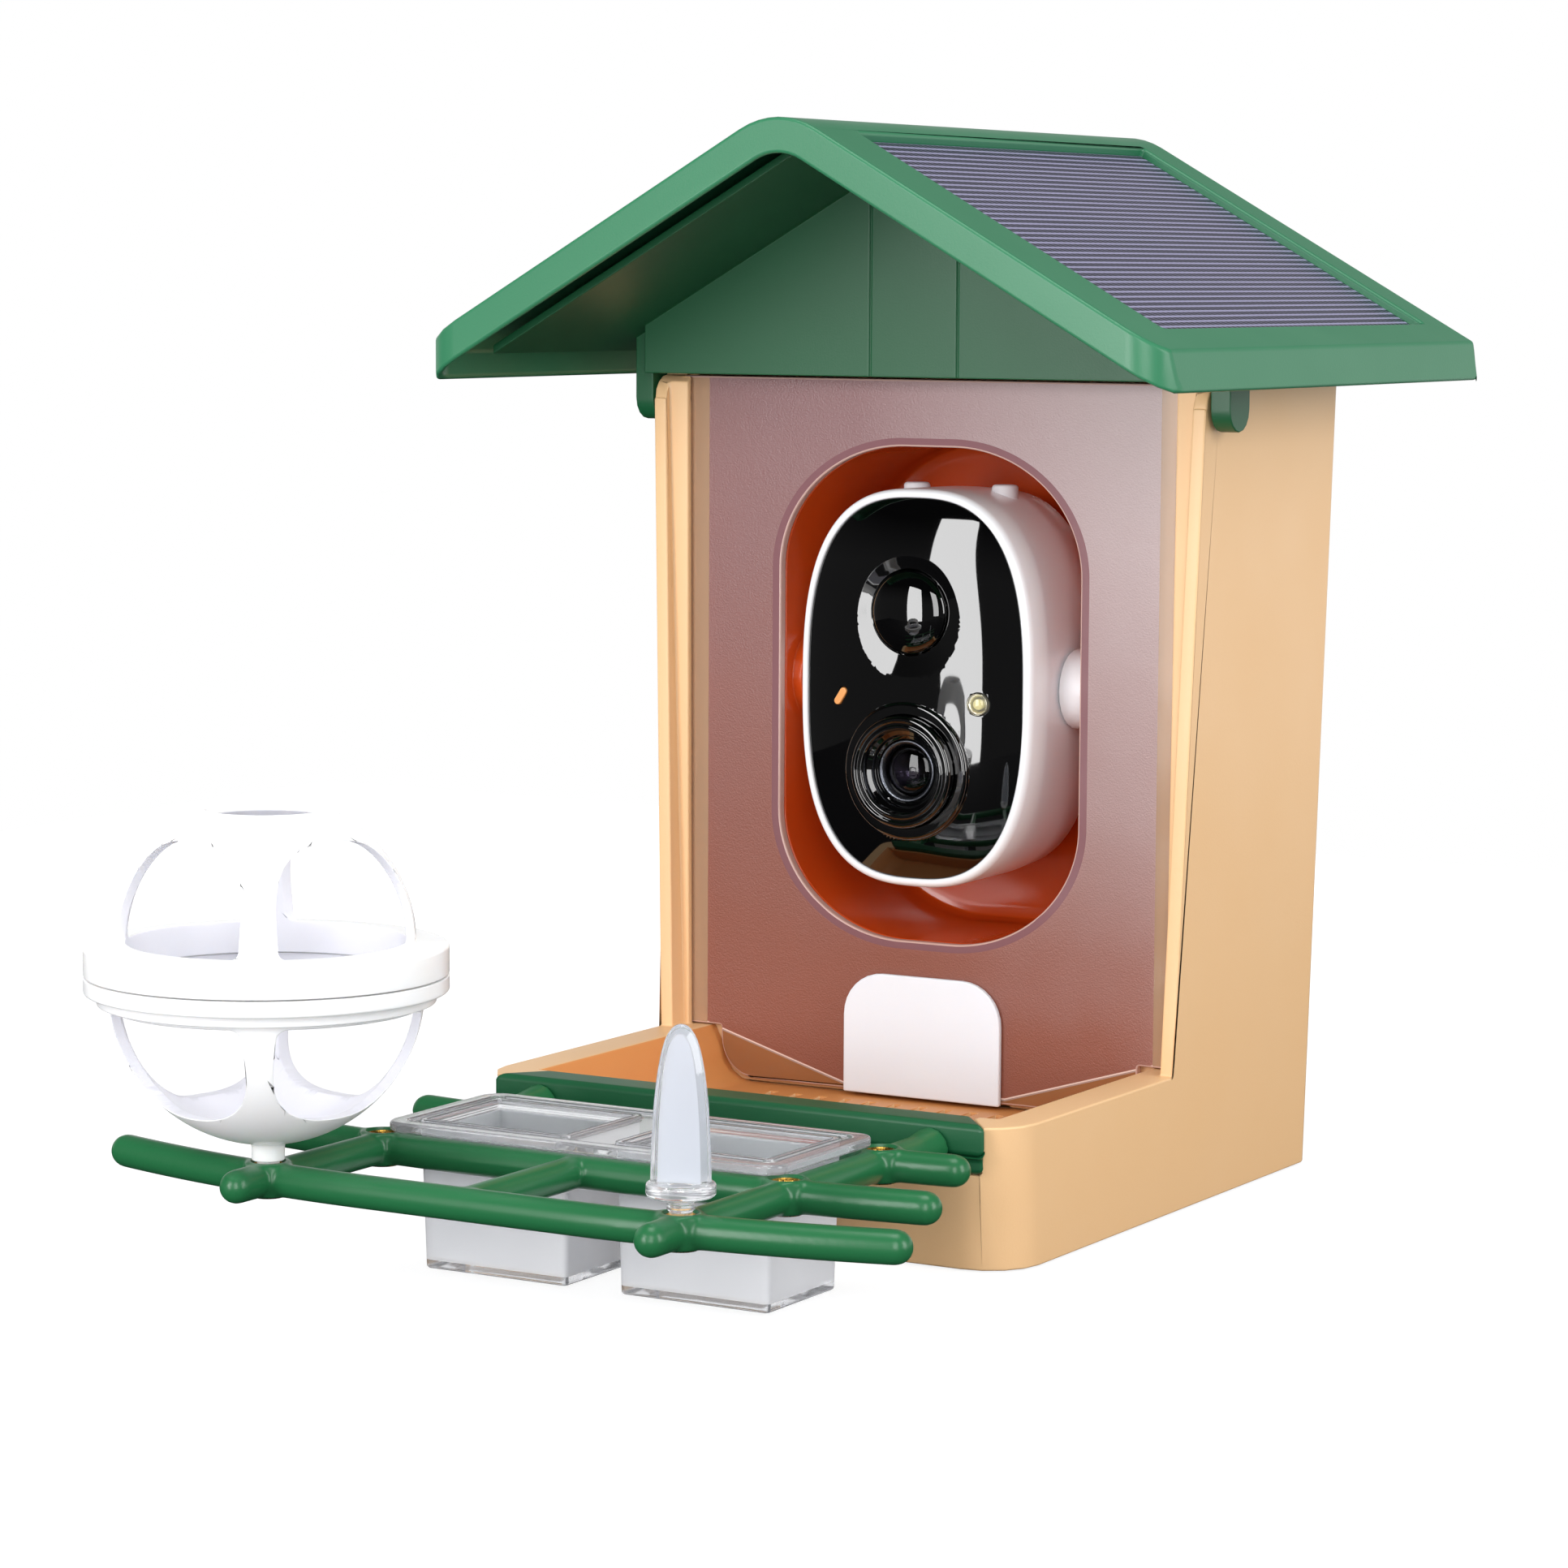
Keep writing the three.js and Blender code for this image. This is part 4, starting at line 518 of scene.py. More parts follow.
@dataclass(frozen=True)
class Metal:
    """A turned or plated metal with fine tool marks.

    Attributes:
        name: the material's name.
        colour: sRGB colour of the metal.
        roughness: mean roughness.
        mark_mm: distance between tool marks.
        mark_depth: strength of their bump.
    """

    name: str
    colour: str
    roughness: float
    mark_mm: float = 0.4
    mark_depth: float = 0.15

    def build(self) -> Material:
        """Returns the material."""
        material, tree, place = blank_material(self.name)
        spread = 0.3
        marks = add_node(
            tree, "ShaderNodeTexNoise",
            {"Vector": place, "Scale": 1 / (self.mark_mm * MM), "Detail": 2.0})
        rough = add_node(tree, "ShaderNodeMapRange", {
            "Value": marks, "To Min": self.roughness * (1 - spread),
            "To Max": self.roughness * (1 + spread)})
        bump = add_node(tree, "ShaderNodeBump", {
            "Height": marks, "Strength": self.mark_depth, "Distance": self.mark_mm * MM})
        close_material(tree, {
            "Base Color": linear(self.colour), "Metallic": 1.0, "Roughness": rough, "Normal": bump})
        return material


# ABS in sand colour, moulded against a satin tool: the grain softens its highlights.
SAND = Moulded("abs_sand_satin", "#f0c797", "#ecc08c", 0.4, glow=0.06)
# Painted shade: the same sand painted darker and a deeper orange on the tray's inner faces. It
# stands for the shade there and for the light that the tray's walls throw on one another.
SAND_PAINTED_SHADE = Moulded("abs_sand_painted_shade", "#e0995a", "#db9353", 0.42, glow=0.06)
# ABS in leaf green, the same satin: a grey sheen lies on the faces that look up.
GREEN = Moulded("abs_green_satin", "#145c38", "#115632", 0.4, grain_depth=0.04)
# Painted light: the same green plastic, painted lighter on the roof. It stands for the top lamps
# that light the roof more and for the pale sheen that they give it.
GREEN_ROOF_PAINTED_LIGHT = Moulded("abs_green_roof_painted_light", "#327c57", "#2d7652", 0.36, grain_depth=0.04)
# The same green on the perch, with the seam of its mould along the middle of the rods.
GREEN_ROD = Moulded(
    "abs_green_rod", "#226a3f", "#1e643a", 0.31, grain_depth=0.03, parting_mm=27.5)
# ABS in rust orange, moulded against a polished tool: mirror-like streaks inside the bay.
RUST = Moulded("abs_rust_gloss", "#cf4e19", "#c44815", 0.14, grain_depth=0.01, glow=0.15)
# ABS in white, polished: near-white with crisp lights.
WHITE = Moulded("abs_white_gloss", "#f4f4f7", "#f0f1f5", 0.18, grain_depth=0.01, glow=0.1)
# Polypropylene in white, thin enough to let light through: its shade stays pale.
MILK = Moulded(
    "polypropylene_milk", "#ffffff", "#fefeff", 0.25, grain_depth=0.01, ior=1.49, glow=0.4,
    glow_mm=2.5)
# Painted shade: the same white, painted darker and lilac on the ball's inner faces, where less
# light comes.
MILK_PAINTED_SHADE = Moulded(
    "polypropylene_milk_painted_shade", "#f2f2f9", "#f0f0f8", 0.3, grain_depth=0.01, ior=1.49, glow=0.2)
# Polypropylene in white, satin: the gate reads as plain and soft.
WHITE_SATIN = Moulded(
    "polypropylene_white", "#f0f6ff", "#edf3fe", 0.4, grain_depth=0.02, ior=1.49, glow=0.3,
    glow_mm=3.0)
# Piano-black polycarbonate under clear lacquer: only the lamps show in it.
BLACK = Moulded(
    "polycarbonate_black", "#020203", "#020202", 0.03, grain_depth=0.0, ior=1.58, lacquer=1.0)
# Polycarbonate in black, fine satin: a dull dark pupil, and the charging box under the roof.
BLACK_SATIN = Moulded("polycarbonate_black_satin", "#101114", "#0c0d10", 0.3, grain_depth=0.02)
# ABS in amber, polished: a small warm slot.
AMBER = Moulded("abs_amber", "#f0a868", "#e89c5a", 0.2, grain_depth=0.0, glow=0.3)
# Silicone rubber, moulded: dull and pale.
SILICONE = Moulded("silicone_grey", "#d9d9dd", "#d2d2d6", 0.55, ior=1.41)
# Solder mask on the board, screen-printed: a dark green with a low shine.
MASK = Moulded("solder_mask", "#1c6a3c", "#175c33", 0.35)
# Shrink sleeve on the cells: a blue film with soft lights.
SLEEVE = Moulded("shrink_sleeve", "#3a6ea8", "#34659c", 0.3)
# Phosphor of the lamp, a soft yellow powder in resin: matt and warm.
PHOSPHOR = Moulded("lamp_phosphor", "#f8efb4", "#f2e6a2", 0.5, grain_depth=0.2)
# Crystal polystyrene, polished: clear cups with bright rims, a little milky where thick.
CRYSTAL = Clear("polystyrene_crystal", "#fbfcff", 0.04, ripple=0.02, through=0.88)
# The same clouded by many small scratches: the walls of the cups, milky all over.
CLOUDED = Clear("polystyrene_clouded", "#fafbff", 0.45, through=0.4)
# The same frosted in the tool: the spike's milky core.
MILKY = Clear("polystyrene_frosted", "#d9dee8", 0.5, through=0.45)
# Glass with a vapour coating: a violet-green bloom on the lens.
COATED = Clear("glass_coated", "#6a6078", 0.01, ior=1.52, ripple=0.0)
# Clear polycarbonate over the lamp, rippled to spread its light: broken yellow glints.
LAMP = Clear("polycarbonate_lamp", "#fffbe2", 0.04, ior=1.58, ripple=0.5, through=0.85)
# Painted highlight: the sawn edges of the polycarbonate panel and the rounding on its edges are
# painted pale, for the bright lines of light along them.
PANEL_EDGE_HIGHLIGHT = Clear("polycarbonate_edge_painted_highlight", "#d9b3a8", 0.2, ior=1.58, through=0.2)
# Brass, turned: warm rings with fine tool marks.
BRASS = Metal("brass_turned", "#c79a45", 0.28)
# Steel, zinc-plated: an even pale grey.
ZINC = Metal("steel_zinc_plated", "#9fa2a8", 0.35)
# Steel blackened with oxide: the dark grey ring round the lens.
GUNMETAL = Metal("steel_black_oxide", "#6d7078", 0.3)
# Aluminium from vapour in the lamp's reflector: a bright mirror.
SILVER = Metal("aluminium_mirror", "#e6e6e8", 0.1)
PANEL = FrostedPanel()
SOLAR = SolarSheet()
Finish = Moulded | Clear | FrostedPanel | SolarSheet | Metal


class Workshop:
    """Builds each finish once and hands it out."""

    def __init__(self) -> None:
        """Starts with no material built."""
        self._built: dict[str, Material] = {}

    def material(self, finish: Finish) -> Material:
        """Finds a finish's material, which is built on its first use.

        Args:
            finish: the finish.

        Returns:
            Its material.
        """
        if finish.name not in self._built:
            self._built[finish.name] = finish.build()
        return self._built[finish.name]


WORKSHOP = Workshop()


# Mesh helpers


def arc(centre: Point2, radius: float, start: float, end: float, steps: int) -> Outline:
    """Returns points on an arc, its angles in degrees, both ends included."""
    angles = (math.radians(start + (end - start) * i / steps) for i in range(steps + 1))
    return [(centre[0] + radius * math.cos(t), centre[1] + radius * math.sin(t)) for t in angles]


def oval(half_a: float, half_b: float, power: float, centre_b: float, count: int) -> Outline:
    """Places points on an oval between an ellipse and a rectangle.

    Args:
        half_a: half its width.
        half_b: half its height.
        power: 2 for an ellipse, more for a squarer form.
        centre_b: height of its centre.
        count: how many points it has.

    Returns:
        The points.
    """

    def bend(value: float) -> float:
        """Returns a sine or cosine bent by the power."""
        return math.copysign(abs(value) ** (2 / power), value)

    angles = (2 * math.pi * i / count for i in range(count))
    return [(half_a * bend(math.cos(t)), centre_b + half_b * bend(math.sin(t))) for t in angles]


def rounded(
    a0: float, a1: float, b0: float, b1: float, radius: float, steps: int = 8
) -> Outline:
    """Returns a rectangle with rounded corners, from a0 to a1 and from b0 to b1."""
    return [
        *arc((a0 + radius, b0 + radius), radius, 180, 270, steps),
        *arc((a1 - radius, b0 + radius), radius, 270, 360, steps),
        *arc((a1 - radius, b1 - radius), radius, 0, 90, steps),
        *arc((a0 + radius, b1 - radius), radius, 90, 180, steps),
    ]


def window_outline(margin: float = 0.0, steps: int = 28) -> Outline:
    """Places points on the window: upright, with wide elliptical corners.

    Args:
        margin: how far the outline is grown.
        steps: parts of each corner.

    Returns:
        The points.
    """
    wide, tall = WINDOW_CORNER
    straight_a, straight_b = WINDOW_HALF[0] - wide, WINDOW_HALF[1] - tall
    points = []
    for side_a, side_b, start in ((1, 1, 0), (-1, 1, 90), (-1, -1, 180), (1, -1, 270)):
        points += [
            (side_a * straight_a + (wide + margin) * a,
             WINDOW_CENTRE + side_b * straight_b + (tall + margin) * b)
            for a, b in arc((0, 0), 1, start, start + 90, steps)
        ]
    return points


def mesh_object(name: str, points: Iterable[Point3], faces: Iterable[Sequence[int]]) -> Object:
    """Makes an object from points in millimetres.

    Args:
        name: the object's name.
        points: its corners.
        faces: its faces, as corner numbers.

    Returns:
        The object, its doubled corners merged, smooth, and its normals outward.
    """
    mesh = bpy.data.meshes.new(name)
    mesh.from_pydata([Vector(p) * MM for p in points], [], [list(f) for f in faces])
    kit = bmesh.new()
    kit.from_mesh(mesh)
    merge_mm = 0.0005
    bmesh.ops.remove_doubles(kit, verts=kit.verts, dist=merge_mm * MM)
    bmesh.ops.recalc_face_normals(kit, faces=kit.faces)
    for face in kit.faces:
        face.smooth = True
    kit.to_mesh(mesh)
    kit.free()
    obj = bpy.data.objects.new(name, mesh)
    bpy.context.scene.collection.objects.link(obj)
    return obj


def loft(
    name: str, axis: Axis, sections: Sequence[tuple[float, Outline]], ring: bool = False
) -> Object:
    """Joins outlines of equal point count along an axis.

    Args:
        name: the object's name.
        axis: the way that the depths run.
        sections: depth and outline of each section.
        ring: True if the last section meets the first, with no end faces.

    Returns:
        The object.
    """
    count = len(sections[0][1])
    points = [axis.point(a, b, depth) for depth, outline in sections for a, b in outline]
    faces: list[list[int]] = []
    spans = len(sections) if ring else len(sections) - 1
    for s in range(spans):
        here, there = s * count, (s + 1) % len(sections) * count
        for i in range(count):
            j = (i + 1) % count
            faces.append([here + i, here + j, there + j, there + i])
    if not ring:
        faces.append(list(range(count)))
        faces.append([len(points) - count + i for i in range(count)])
    return mesh_object(name, points, faces)


def prism(name: str, axis: Axis, outline: Outline, start: float, end: float) -> Object:
    """Returns a prism of an outline from one depth to another."""
    return loft(name, axis, [(start, outline), (end, outline)])


def revolve(
    name: str, axis: Axis, profile: Sequence[Point2], centre: Point2, steps: int, ring: bool = False
) -> Object:
    """Turns a profile about a line.

    Args:
        name: the object's name.
        axis: the line's direction.
        profile: points of radius and depth.
        centre: where the line passes, in the axis's other two coordinates.
        steps: facets round the full turn.
        ring: True if the profile's last point meets its first.

    Returns:
        The object.
    """
    count = len(profile)
    points = []
    for k in range(steps):
        t = 2 * math.pi * k / steps
        points += [
            axis.point(centre[0] + r * math.cos(t), centre[1] + r * math.sin(t), depth)
            for r, depth in profile
        ]
    spans = count if ring else count - 1
    faces = []
    for k in range(steps):
        here, there = k * count, (k + 1) % steps * count
        for i in range(spans):
            j = (i + 1) % count
            faces.append([here + i, here + j, there + j, there + i])
    return mesh_object(name, points, faces)


def rod(name: str, path: Sequence[Point3], radius: float, sides: int = 20, caps: int = 6) -> Object:
    """Sweeps a circle along a level path and closes its ends with domes.

    Args:
        name: the object's name.
        path: the rod's middle line.
        radius: its radius.
        sides: facets round it.
        caps: rings in each dome.

    Returns:
        The object.
    """
    start, end = Vector(path[0]), Vector(path[-1])
    first, last = (Vector(path[1]) - start).normalized(), (end - Vector(path[-2])).normalized()
    rings: list[tuple[Vector, Vector, float]] = []
    for i in range(caps):
        t = math.pi / 2 * i / caps
        rings.append((start - first * radius * math.cos(t), first, radius * math.sin(t)))
    for i, point in enumerate(path):
        before = Vector(path[max(i - 1, 0)])
        after = Vector(path[min(i + 1, len(path) - 1)])
        rings.append((Vector(point), (after - before).normalized(), radius))
    for i in range(caps - 1, -1, -1):
        t = math.pi / 2 * i / caps
        rings.append((end + last * radius * math.cos(t), last, radius * math.sin(t)))
    points: list[Point3] = []
    up = Vector((0, 0, 1))
    for middle, along, size in rings:
        side = along.cross(up)
        for k in range(sides):
            t = 2 * math.pi * k / sides
            points.append(tuple(middle + side * size * math.cos(t) + up * size * math.sin(t)))
    faces = []
    for s in range(len(rings) - 1):
        for k in range(sides):
            j = (k + 1) % sides
            faces.append([s * sides + k, s * sides + j, (s + 1) * sides + j, (s + 1) * sides + k])
    return mesh_object(name, points, faces)


def settle(obj: Object) -> Object:
    """Applies an object's modifiers.

    Args:
        obj: the object.

    Returns:
        The object, with no modifier left.
    """
    graph = bpy.context.evaluated_depsgraph_get()
    old = obj.data
    fresh = bpy.data.meshes.new_from_object(obj.evaluated_get(graph))
    obj.modifiers.clear()
    obj.data = fresh
    bpy.data.meshes.remove(old)
    return obj


def work(obj: Object, cut: Cut, tools: Sequence[Object]) -> Object:
    """Joins solids to an object or takes them away from it.

    Args:
        obj: the object that changes.
        cut: what the tools do.
        tools: closed solids, deleted afterwards.

    Returns:
        The object.
    """
    for tool in tools:
        modifier = obj.modifiers.new(cut.name.lower(), "BOOLEAN")
        modifier.operation = cut.value
        modifier.solver = "EXACT"
        modifier.object = tool
        settle(obj)
        bpy.data.objects.remove(tool)
    kit = bmesh.new()
    kit.from_mesh(obj.data)
    short_mm = 0.03
    bmesh.ops.remove_doubles(kit, verts=kit.verts, dist=short_mm * MM)
    bmesh.ops.dissolve_degenerate(kit, edges=kit.edges, dist=short_mm * MM)
    for face in kit.faces:
        face.smooth = True
    kit.to_mesh(obj.data)
    kit.free()
    return obj


def turn(obj: Object, degrees: float, centre: Point2) -> Object:
    """Turns an object's mesh about an upright line.

    Args:
        obj: the object.
        degrees: how far it turns.
        centre: where the line stands.

    Returns:
        The object.
    """
    x, y = centre[0] * MM, centre[1] * MM
    way = Matrix.Translation((x, y, 0)) @ Matrix.Rotation(math.radians(degrees), 4, "Z")
    obj.data.transform(way @ Matrix.Translation((-x, -y, 0)))
    return obj


def round_edges(
    obj: Object, width_mm: float, steps: int = 2, angle: float = 32, slot: int = -1
) -> Object:
    """Rounds an object's edges and evens out its normals.

    Args:
        obj: the object.
        width_mm: width of the rounding.
        steps: facets across it.
        angle: the least angle between faces that is rounded, in degrees.
        slot: material slot for the rounded faces, or -1 for their neighbours' slot.

    Returns:
        The object.
    """
    bevel = obj.modifiers.new("rounded_edges", "BEVEL")
    bevel.width = width_mm * MM
    bevel.segments = steps
    bevel.limit_method = "ANGLE"
    bevel.angle_limit = math.radians(angle)
    bevel.use_clamp_overlap = False
    bevel.material = slot
    bevel.miter_outer = "MITER_ARC"
    obj.modifiers.new("even_normals", "WEIGHTED_NORMAL")
    return obj


def smooth_group() -> Tree:
    """Builds the modifier group that shades a whole mesh smooth.

    Returns:
        The group.
    """
    group = bpy.data.node_groups.new("shade_smooth", "GeometryNodeTree")
    group.interface.new_socket("Geometry", in_out="INPUT", socket_type="NodeSocketGeometry")
    group.interface.new_socket("Geometry", in_out="OUTPUT", socket_type="NodeSocketGeometry")
    entry = add_node(group, "NodeGroupInput")
    smooth = add_node(group, "GeometryNodeSetShadeSmooth", {"Geometry": entry})
    add_node(group, "NodeGroupOutput", {0: smooth})
    return group


SMOOTH = smooth_group()


def soften_cad(
    node: str, width_mm: float, steps: int = 2, angle: float = 32, merge_flats: bool = True
) -> Object:
    """Rounds the edges of a CAD node with modifiers alone.

    Args:
        node: the node's name.
        width_mm: width of the rounding.
        steps: facets across it.
        angle: the least angle between faces that is rounded, in degrees.
        merge_flats: whether flat neighbours become one face, which fails round rows of slots.

    Returns:
        The node's object.
    """
    obj = NODES[node]
    weld_mm, flat_degrees = 0.002, 1.5
    weld = obj.modifiers.new("weld", "WELD")
    weld.merge_threshold = weld_mm * MM
    if merge_flats:
        flat = obj.modifiers.new("flat_faces", "DECIMATE")
        flat.decimate_type = "DISSOLVE"
        flat.angle_limit = math.radians(flat_degrees)
    shade = obj.modifiers.new("shade_smooth", "NODES")
    shade.node_group = SMOOTH
    return round_edges(obj, width_mm, steps, angle)


def dress(obj: Object, *finishes: Finish) -> Object:
    """Gives an object its materials.

    Args:
        obj: the object.
        *finishes: its finishes, in the order of its slots.

    Returns:
        The object.
    """
    materials = [WORKSHOP.material(f) for f in finishes]
    if not obj.material_slots:
        for material in materials:
            obj.data.materials.append(material)
        return obj
    for i, place in enumerate(obj.material_slots):
        place.material = materials[min(i, len(materials) - 1)]
    return obj


def seat(obj: Object, body: str, slot: str, *nodes: str) -> Object:
    """Puts a new piece on its body in place of CAD nodes.

    Args:
        obj: the piece.
        body: the body that it rides on.
        slot: the name of a material slot; not used.
        *nodes: the CAD nodes that it stands for.

    Returns:
        The piece.
    """
    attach(obj, body)
    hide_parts(*nodes)
    LOG.info("%s stands for %s", obj.name, ", ".join(nodes))
    return obj


# Sub-assemblies


@dataclass
class House:
    """The sand-coloured shell with its panel, gate, chute and rear bracket.

    Attributes:
        edge_mm: rounding of the shell's edges.
        panel_front: where the panel's front face lies.
        panel_back: where its back face lies.
        panel_round: rounding of its edges.
        lip_half_foot: half the opening between the house's lips, at the tray.
        lip_half_top: the same at the roof.
        lip_height: height of the lips.
        tray_top: height of the tray's rim, where the panel steps in.
        groove: depth of the grooves that hold the panel.
        toe_half: half the panel's width under the step.
        tongue_half: half the width of its straight lower edge.
        tongue_foot: height of that edge.
        seed_gap: half width, foot and top of the hole behind the gate.
        tray: half width, front, back, foot and top of the tray's inner space, whose faces get the
            painted shade.
    """

    edge_mm: float = 0.5
    panel_front: float = 2.3
    panel_back: float = 4.8
    panel_round: float = 0.45
    lip_half_foot: float = 65.1
    lip_half_top: float = 65.9
    lip_height: float = 192.8
    tray_top: float = 32.6
    groove: float = 2.7
    toe_half: float = 57.0
    tongue_half: float = 47.5
    tongue_foot: float = 20.4
    seed_gap: Point3 = (14.0, 22.0, 42.0)
    tray: tuple[float, float, float, float, float] = (66.0, -76.0, 2.2, 18.0, 31.5)

    def panel(self) -> Object:
        """Builds the frosted panel with its window and its seed gap.

        Returns:
            The panel.
        """
        top = self.lip_height - FIT
        shoulder = self.tray_top + FIT
        slope = (self.lip_half_top - self.lip_half_foot) / (self.lip_height - self.tray_top)
        half_foot = self.lip_half_foot + self.groove - FIT
        half_top = half_foot + slope * (top - shoulder)
        curve = self.toe_half - self.tongue_half
        right = [
            (half_top, top),
            (half_foot, shoulder),
            (self.toe_half, shoulder),
            *arc((self.tongue_half, self.tongue_foot + curve), curve, 360, 270, 16),
        ]
        left = [(-x, z) for x, z in reversed(right)]
        plate = prism(
            "front_panel_frosted", Axis.Y, right + left, self.panel_front, self.panel_back)
        half, foot, gap_top = self.seed_gap
        gap = [(-half, foot), (half, foot), (half, gap_top), (-half, gap_top)]
        work(plate, Cut.TAKE, [
            prism(name, Axis.Y, outline, self.panel_front - PAST, self.panel_back + PAST)
            for name, outline in (("window", window_outline()), ("seed_gap", gap))])
        dress(plate, PANEL, PANEL_EDGE_HIGHLIGHT)
        # Painted highlight: the faces that do not look front or back, and the rounding of every
        # edge, get the pale edge colour.
        flat = 0.9
        for polygon in plate.data.polygons:
            polygon.material_index = 0 if abs(polygon.normal.y) > flat else 1
        return round_edges(plate, self.panel_round, slot=1)

    def build(self) -> None:
        """Builds and dresses the pieces."""
        shell = dress(soften_cad("house_shell", self.edge_mm, merge_flats=False), SAND)
        shell.data.materials.append(WORKSHOP.material(SAND_PAINTED_SHADE))
        # Painted shade: the faces inside the tray's inner space get the darker, deeper sand in slot
        # 1.
        half, front, back, foot, top = self.tray
        for polygon in shell.data.polygons:
            x, y, z = polygon.center / MM
            inside = abs(x) < half and front < y < back and foot < z < top
            if inside and polygon.area > 0:
                polygon.material_index = 1
        seat(self.panel(), "root", "frosted_panel", "front_panel")
        for node, width_mm, steps, finish in (
            ("rear_bracket", self.edge_mm, 2, SAND), ("seed_chute", 0.3, 2, SAND),
            ("seed_gate", 0.4, 3, WHITE_SATIN), ("gate_clip", 0.3, 2, WHITE_SATIN),
        ):
            dress(soften_cad(node, width_mm, steps), finish)


@dataclass
class Roof:
    """The hinged roof: shell, liner and gable, solar sheet and its charging box.

    Attributes:
        edge_mm: rounding of the shell's edges.
    """

    edge_mm: float = 0.9

    def build(self) -> None:
        """Builds and dresses the pieces."""
        # The roof shell gets the green with painted light.
        for node, width_mm, steps, finish in (
            ("roof_shell", self.edge_mm, 3, GREEN_ROOF_PAINTED_LIGHT), ("roof_base", 0.3, 2, GREEN),
            ("solar_panel", 0.3, 2, SOLAR), ("junction_box", 0.5, 2, BLACK_SATIN),
        ):
            dress(soften_cad(node, width_mm, steps), finish)


@dataclass
class Camera:
    """The camera on its bay: case, black face, sensor, lens, lamp and buttons.

    Attributes:
        half: half width and half height of the case.
        power: how square the case's oval is.
        oval_points: points round it.
        centre: height of its centre.
        front: where the case's front ring starts.
        back: where the case ends.
        swell: where the case is widest.
        wall: thickness of the case.
        edge: small step at the case's front ring.
        soft: rounding of that ring, along the case.
        soft_share: its share across the case.
        face_back: where the black face's back lies.
        face_bulge: how far the face domes.
        face_play: the face's gap to the ring.
        dish: outer and inner radius of the dish round the motion sensor.
        dish_depth: its depth.
        dish_edge: width of its soft edges.
        sensor_rise: height of the sensor over the centre.
        motion_radius: radius of its dome.
        motion_dome: how far the dome stands out.
        foot_depth: thickness of the flanges behind the face.
        lens_drop: how far the lens lies under the centre.
        surround: radius of the face's boss round the lens.
        surround_lead: how far that boss stands out.
        barrel: radius of the lens barrel.
        barrel_lead: how far it stands out.
        barrel_back: where it ends inside the case.
        ring_radius: radius of the grey ring.
        glass_radius: radius of the glass.
        lamp_place: X and height of the lamp.
        lamp_radius: its radius.
        slot_place: X and height of the slanted light window.
        slot_length: its length.
        slot_width: its width.
        slot_lean: how far it leans, in degrees.
        sides: facets round the large circles.
        small_sides: facets round the small ones.
        bay_wall: thickness of the bay.
        bay_front: where the bay starts.
        bay_depth: its depth.
        bay_corner: rounding at its back.
        boss_radius: radius of the bosses that carry the pivots.
        boss_face: where they face the case.
        post_radius: radius of the posts at the back.
        post_back: where the posts end.
        post_spacing: distance between them.
        tilt_y: where the pivots' axis lies.
    """

    half: Point2 = (31.2, 47.5)
    power: float = 2.7
    oval_points: int = 160
    centre: float = 119.4
    front: float = -4.5
    back: float = 37.0
    swell: float = 21.7
    wall: float = 2.1
    edge: float = 0.525
    soft: float = 2.4
    soft_share: float = 0.55
    face_back: float = 1.6
    face_bulge: float = 3.5
    face_play: float = 0.05
    dish: Point2 = (16.5, 10.2)
    dish_depth: float = 1.3
    dish_edge: float = 0.25
    sensor_rise: float = 18.4
    motion_radius: float = 10.0
    motion_dome: float = 3.6
    foot_depth: float = 1.8
    lens_drop: float = 19.3
    surround: float = 16.5
    surround_lead: float = 4.6
    barrel: float = 13.4
    barrel_lead: float = 7.2
    barrel_back: float = 12.0
    ring_radius: float = 7.4
    glass_radius: float = 6.2
    lamp_place: Point2 = (18.7, 116.9)
    lamp_radius: float = 2.6
    slot_place: Point2 = (-18.3, 117.1)
    slot_length: float = 4.6
    slot_width: float = 1.8
    slot_lean: float = 33.0
    sides: int = 96
    small_sides: int = 48
    bay_wall: float = 2.0
    bay_front: float = 5.1
    bay_depth: float = 42.0
    bay_corner: float = 4.0
    boss_radius: float = 10.7
    boss_face: float = 38.0
    post_radius: float = 4.6
    post_back: float = 70.6
    post_spacing: float = 84.0
    tilt_y: float = 18.8

    def ring(self, depth: float, inset: float) -> tuple[float, Outline]:
        """Returns a depth and the case's oval there, drawn in by an inset."""
        return depth, oval(
            self.half[0] - inset, self.half[1] - inset, self.power, self.centre, self.oval_points)

    @property
    def rim(self) -> float:
        """Returns where the black face leaves the case's front ring."""
        return self.front + self.edge

    def case(self) -> Object:
        """Builds the white sleeve with its rounded front ring.

        Returns:
            The sleeve.
        """
        wall, edge, soft = self.wall, self.edge, self.soft
        round_back = 2 * wall
        steps = 7
        bend = [
            self.ring(
                self.front + soft * (1 - math.cos(t)), soft * self.soft_share * (1 - math.sin(t)))
            for t in (math.pi / 2 * i / steps for i in range(steps + 1))
        ]
        outer = [
            self.ring(self.rim, wall), self.ring(self.front + edge / 4, wall - edge / 4),
            self.ring(self.front, wall - edge), *bend, self.ring(self.swell, edge / 2),
            self.ring(self.back - round_back, wall / 2),
            self.ring(self.back - round_back / 3, wall), self.ring(self.back, round_back),
        ]
        inner = [
            self.ring(self.back, round_back + wall), self.ring(self.back - round_back, 1.5 * wall),
            self.ring(self.rim + edge, wall),
        ]
        body = loft("camera_case_white", Axis.Y, outer + inner, ring=True)
        return dress(body, WHITE)

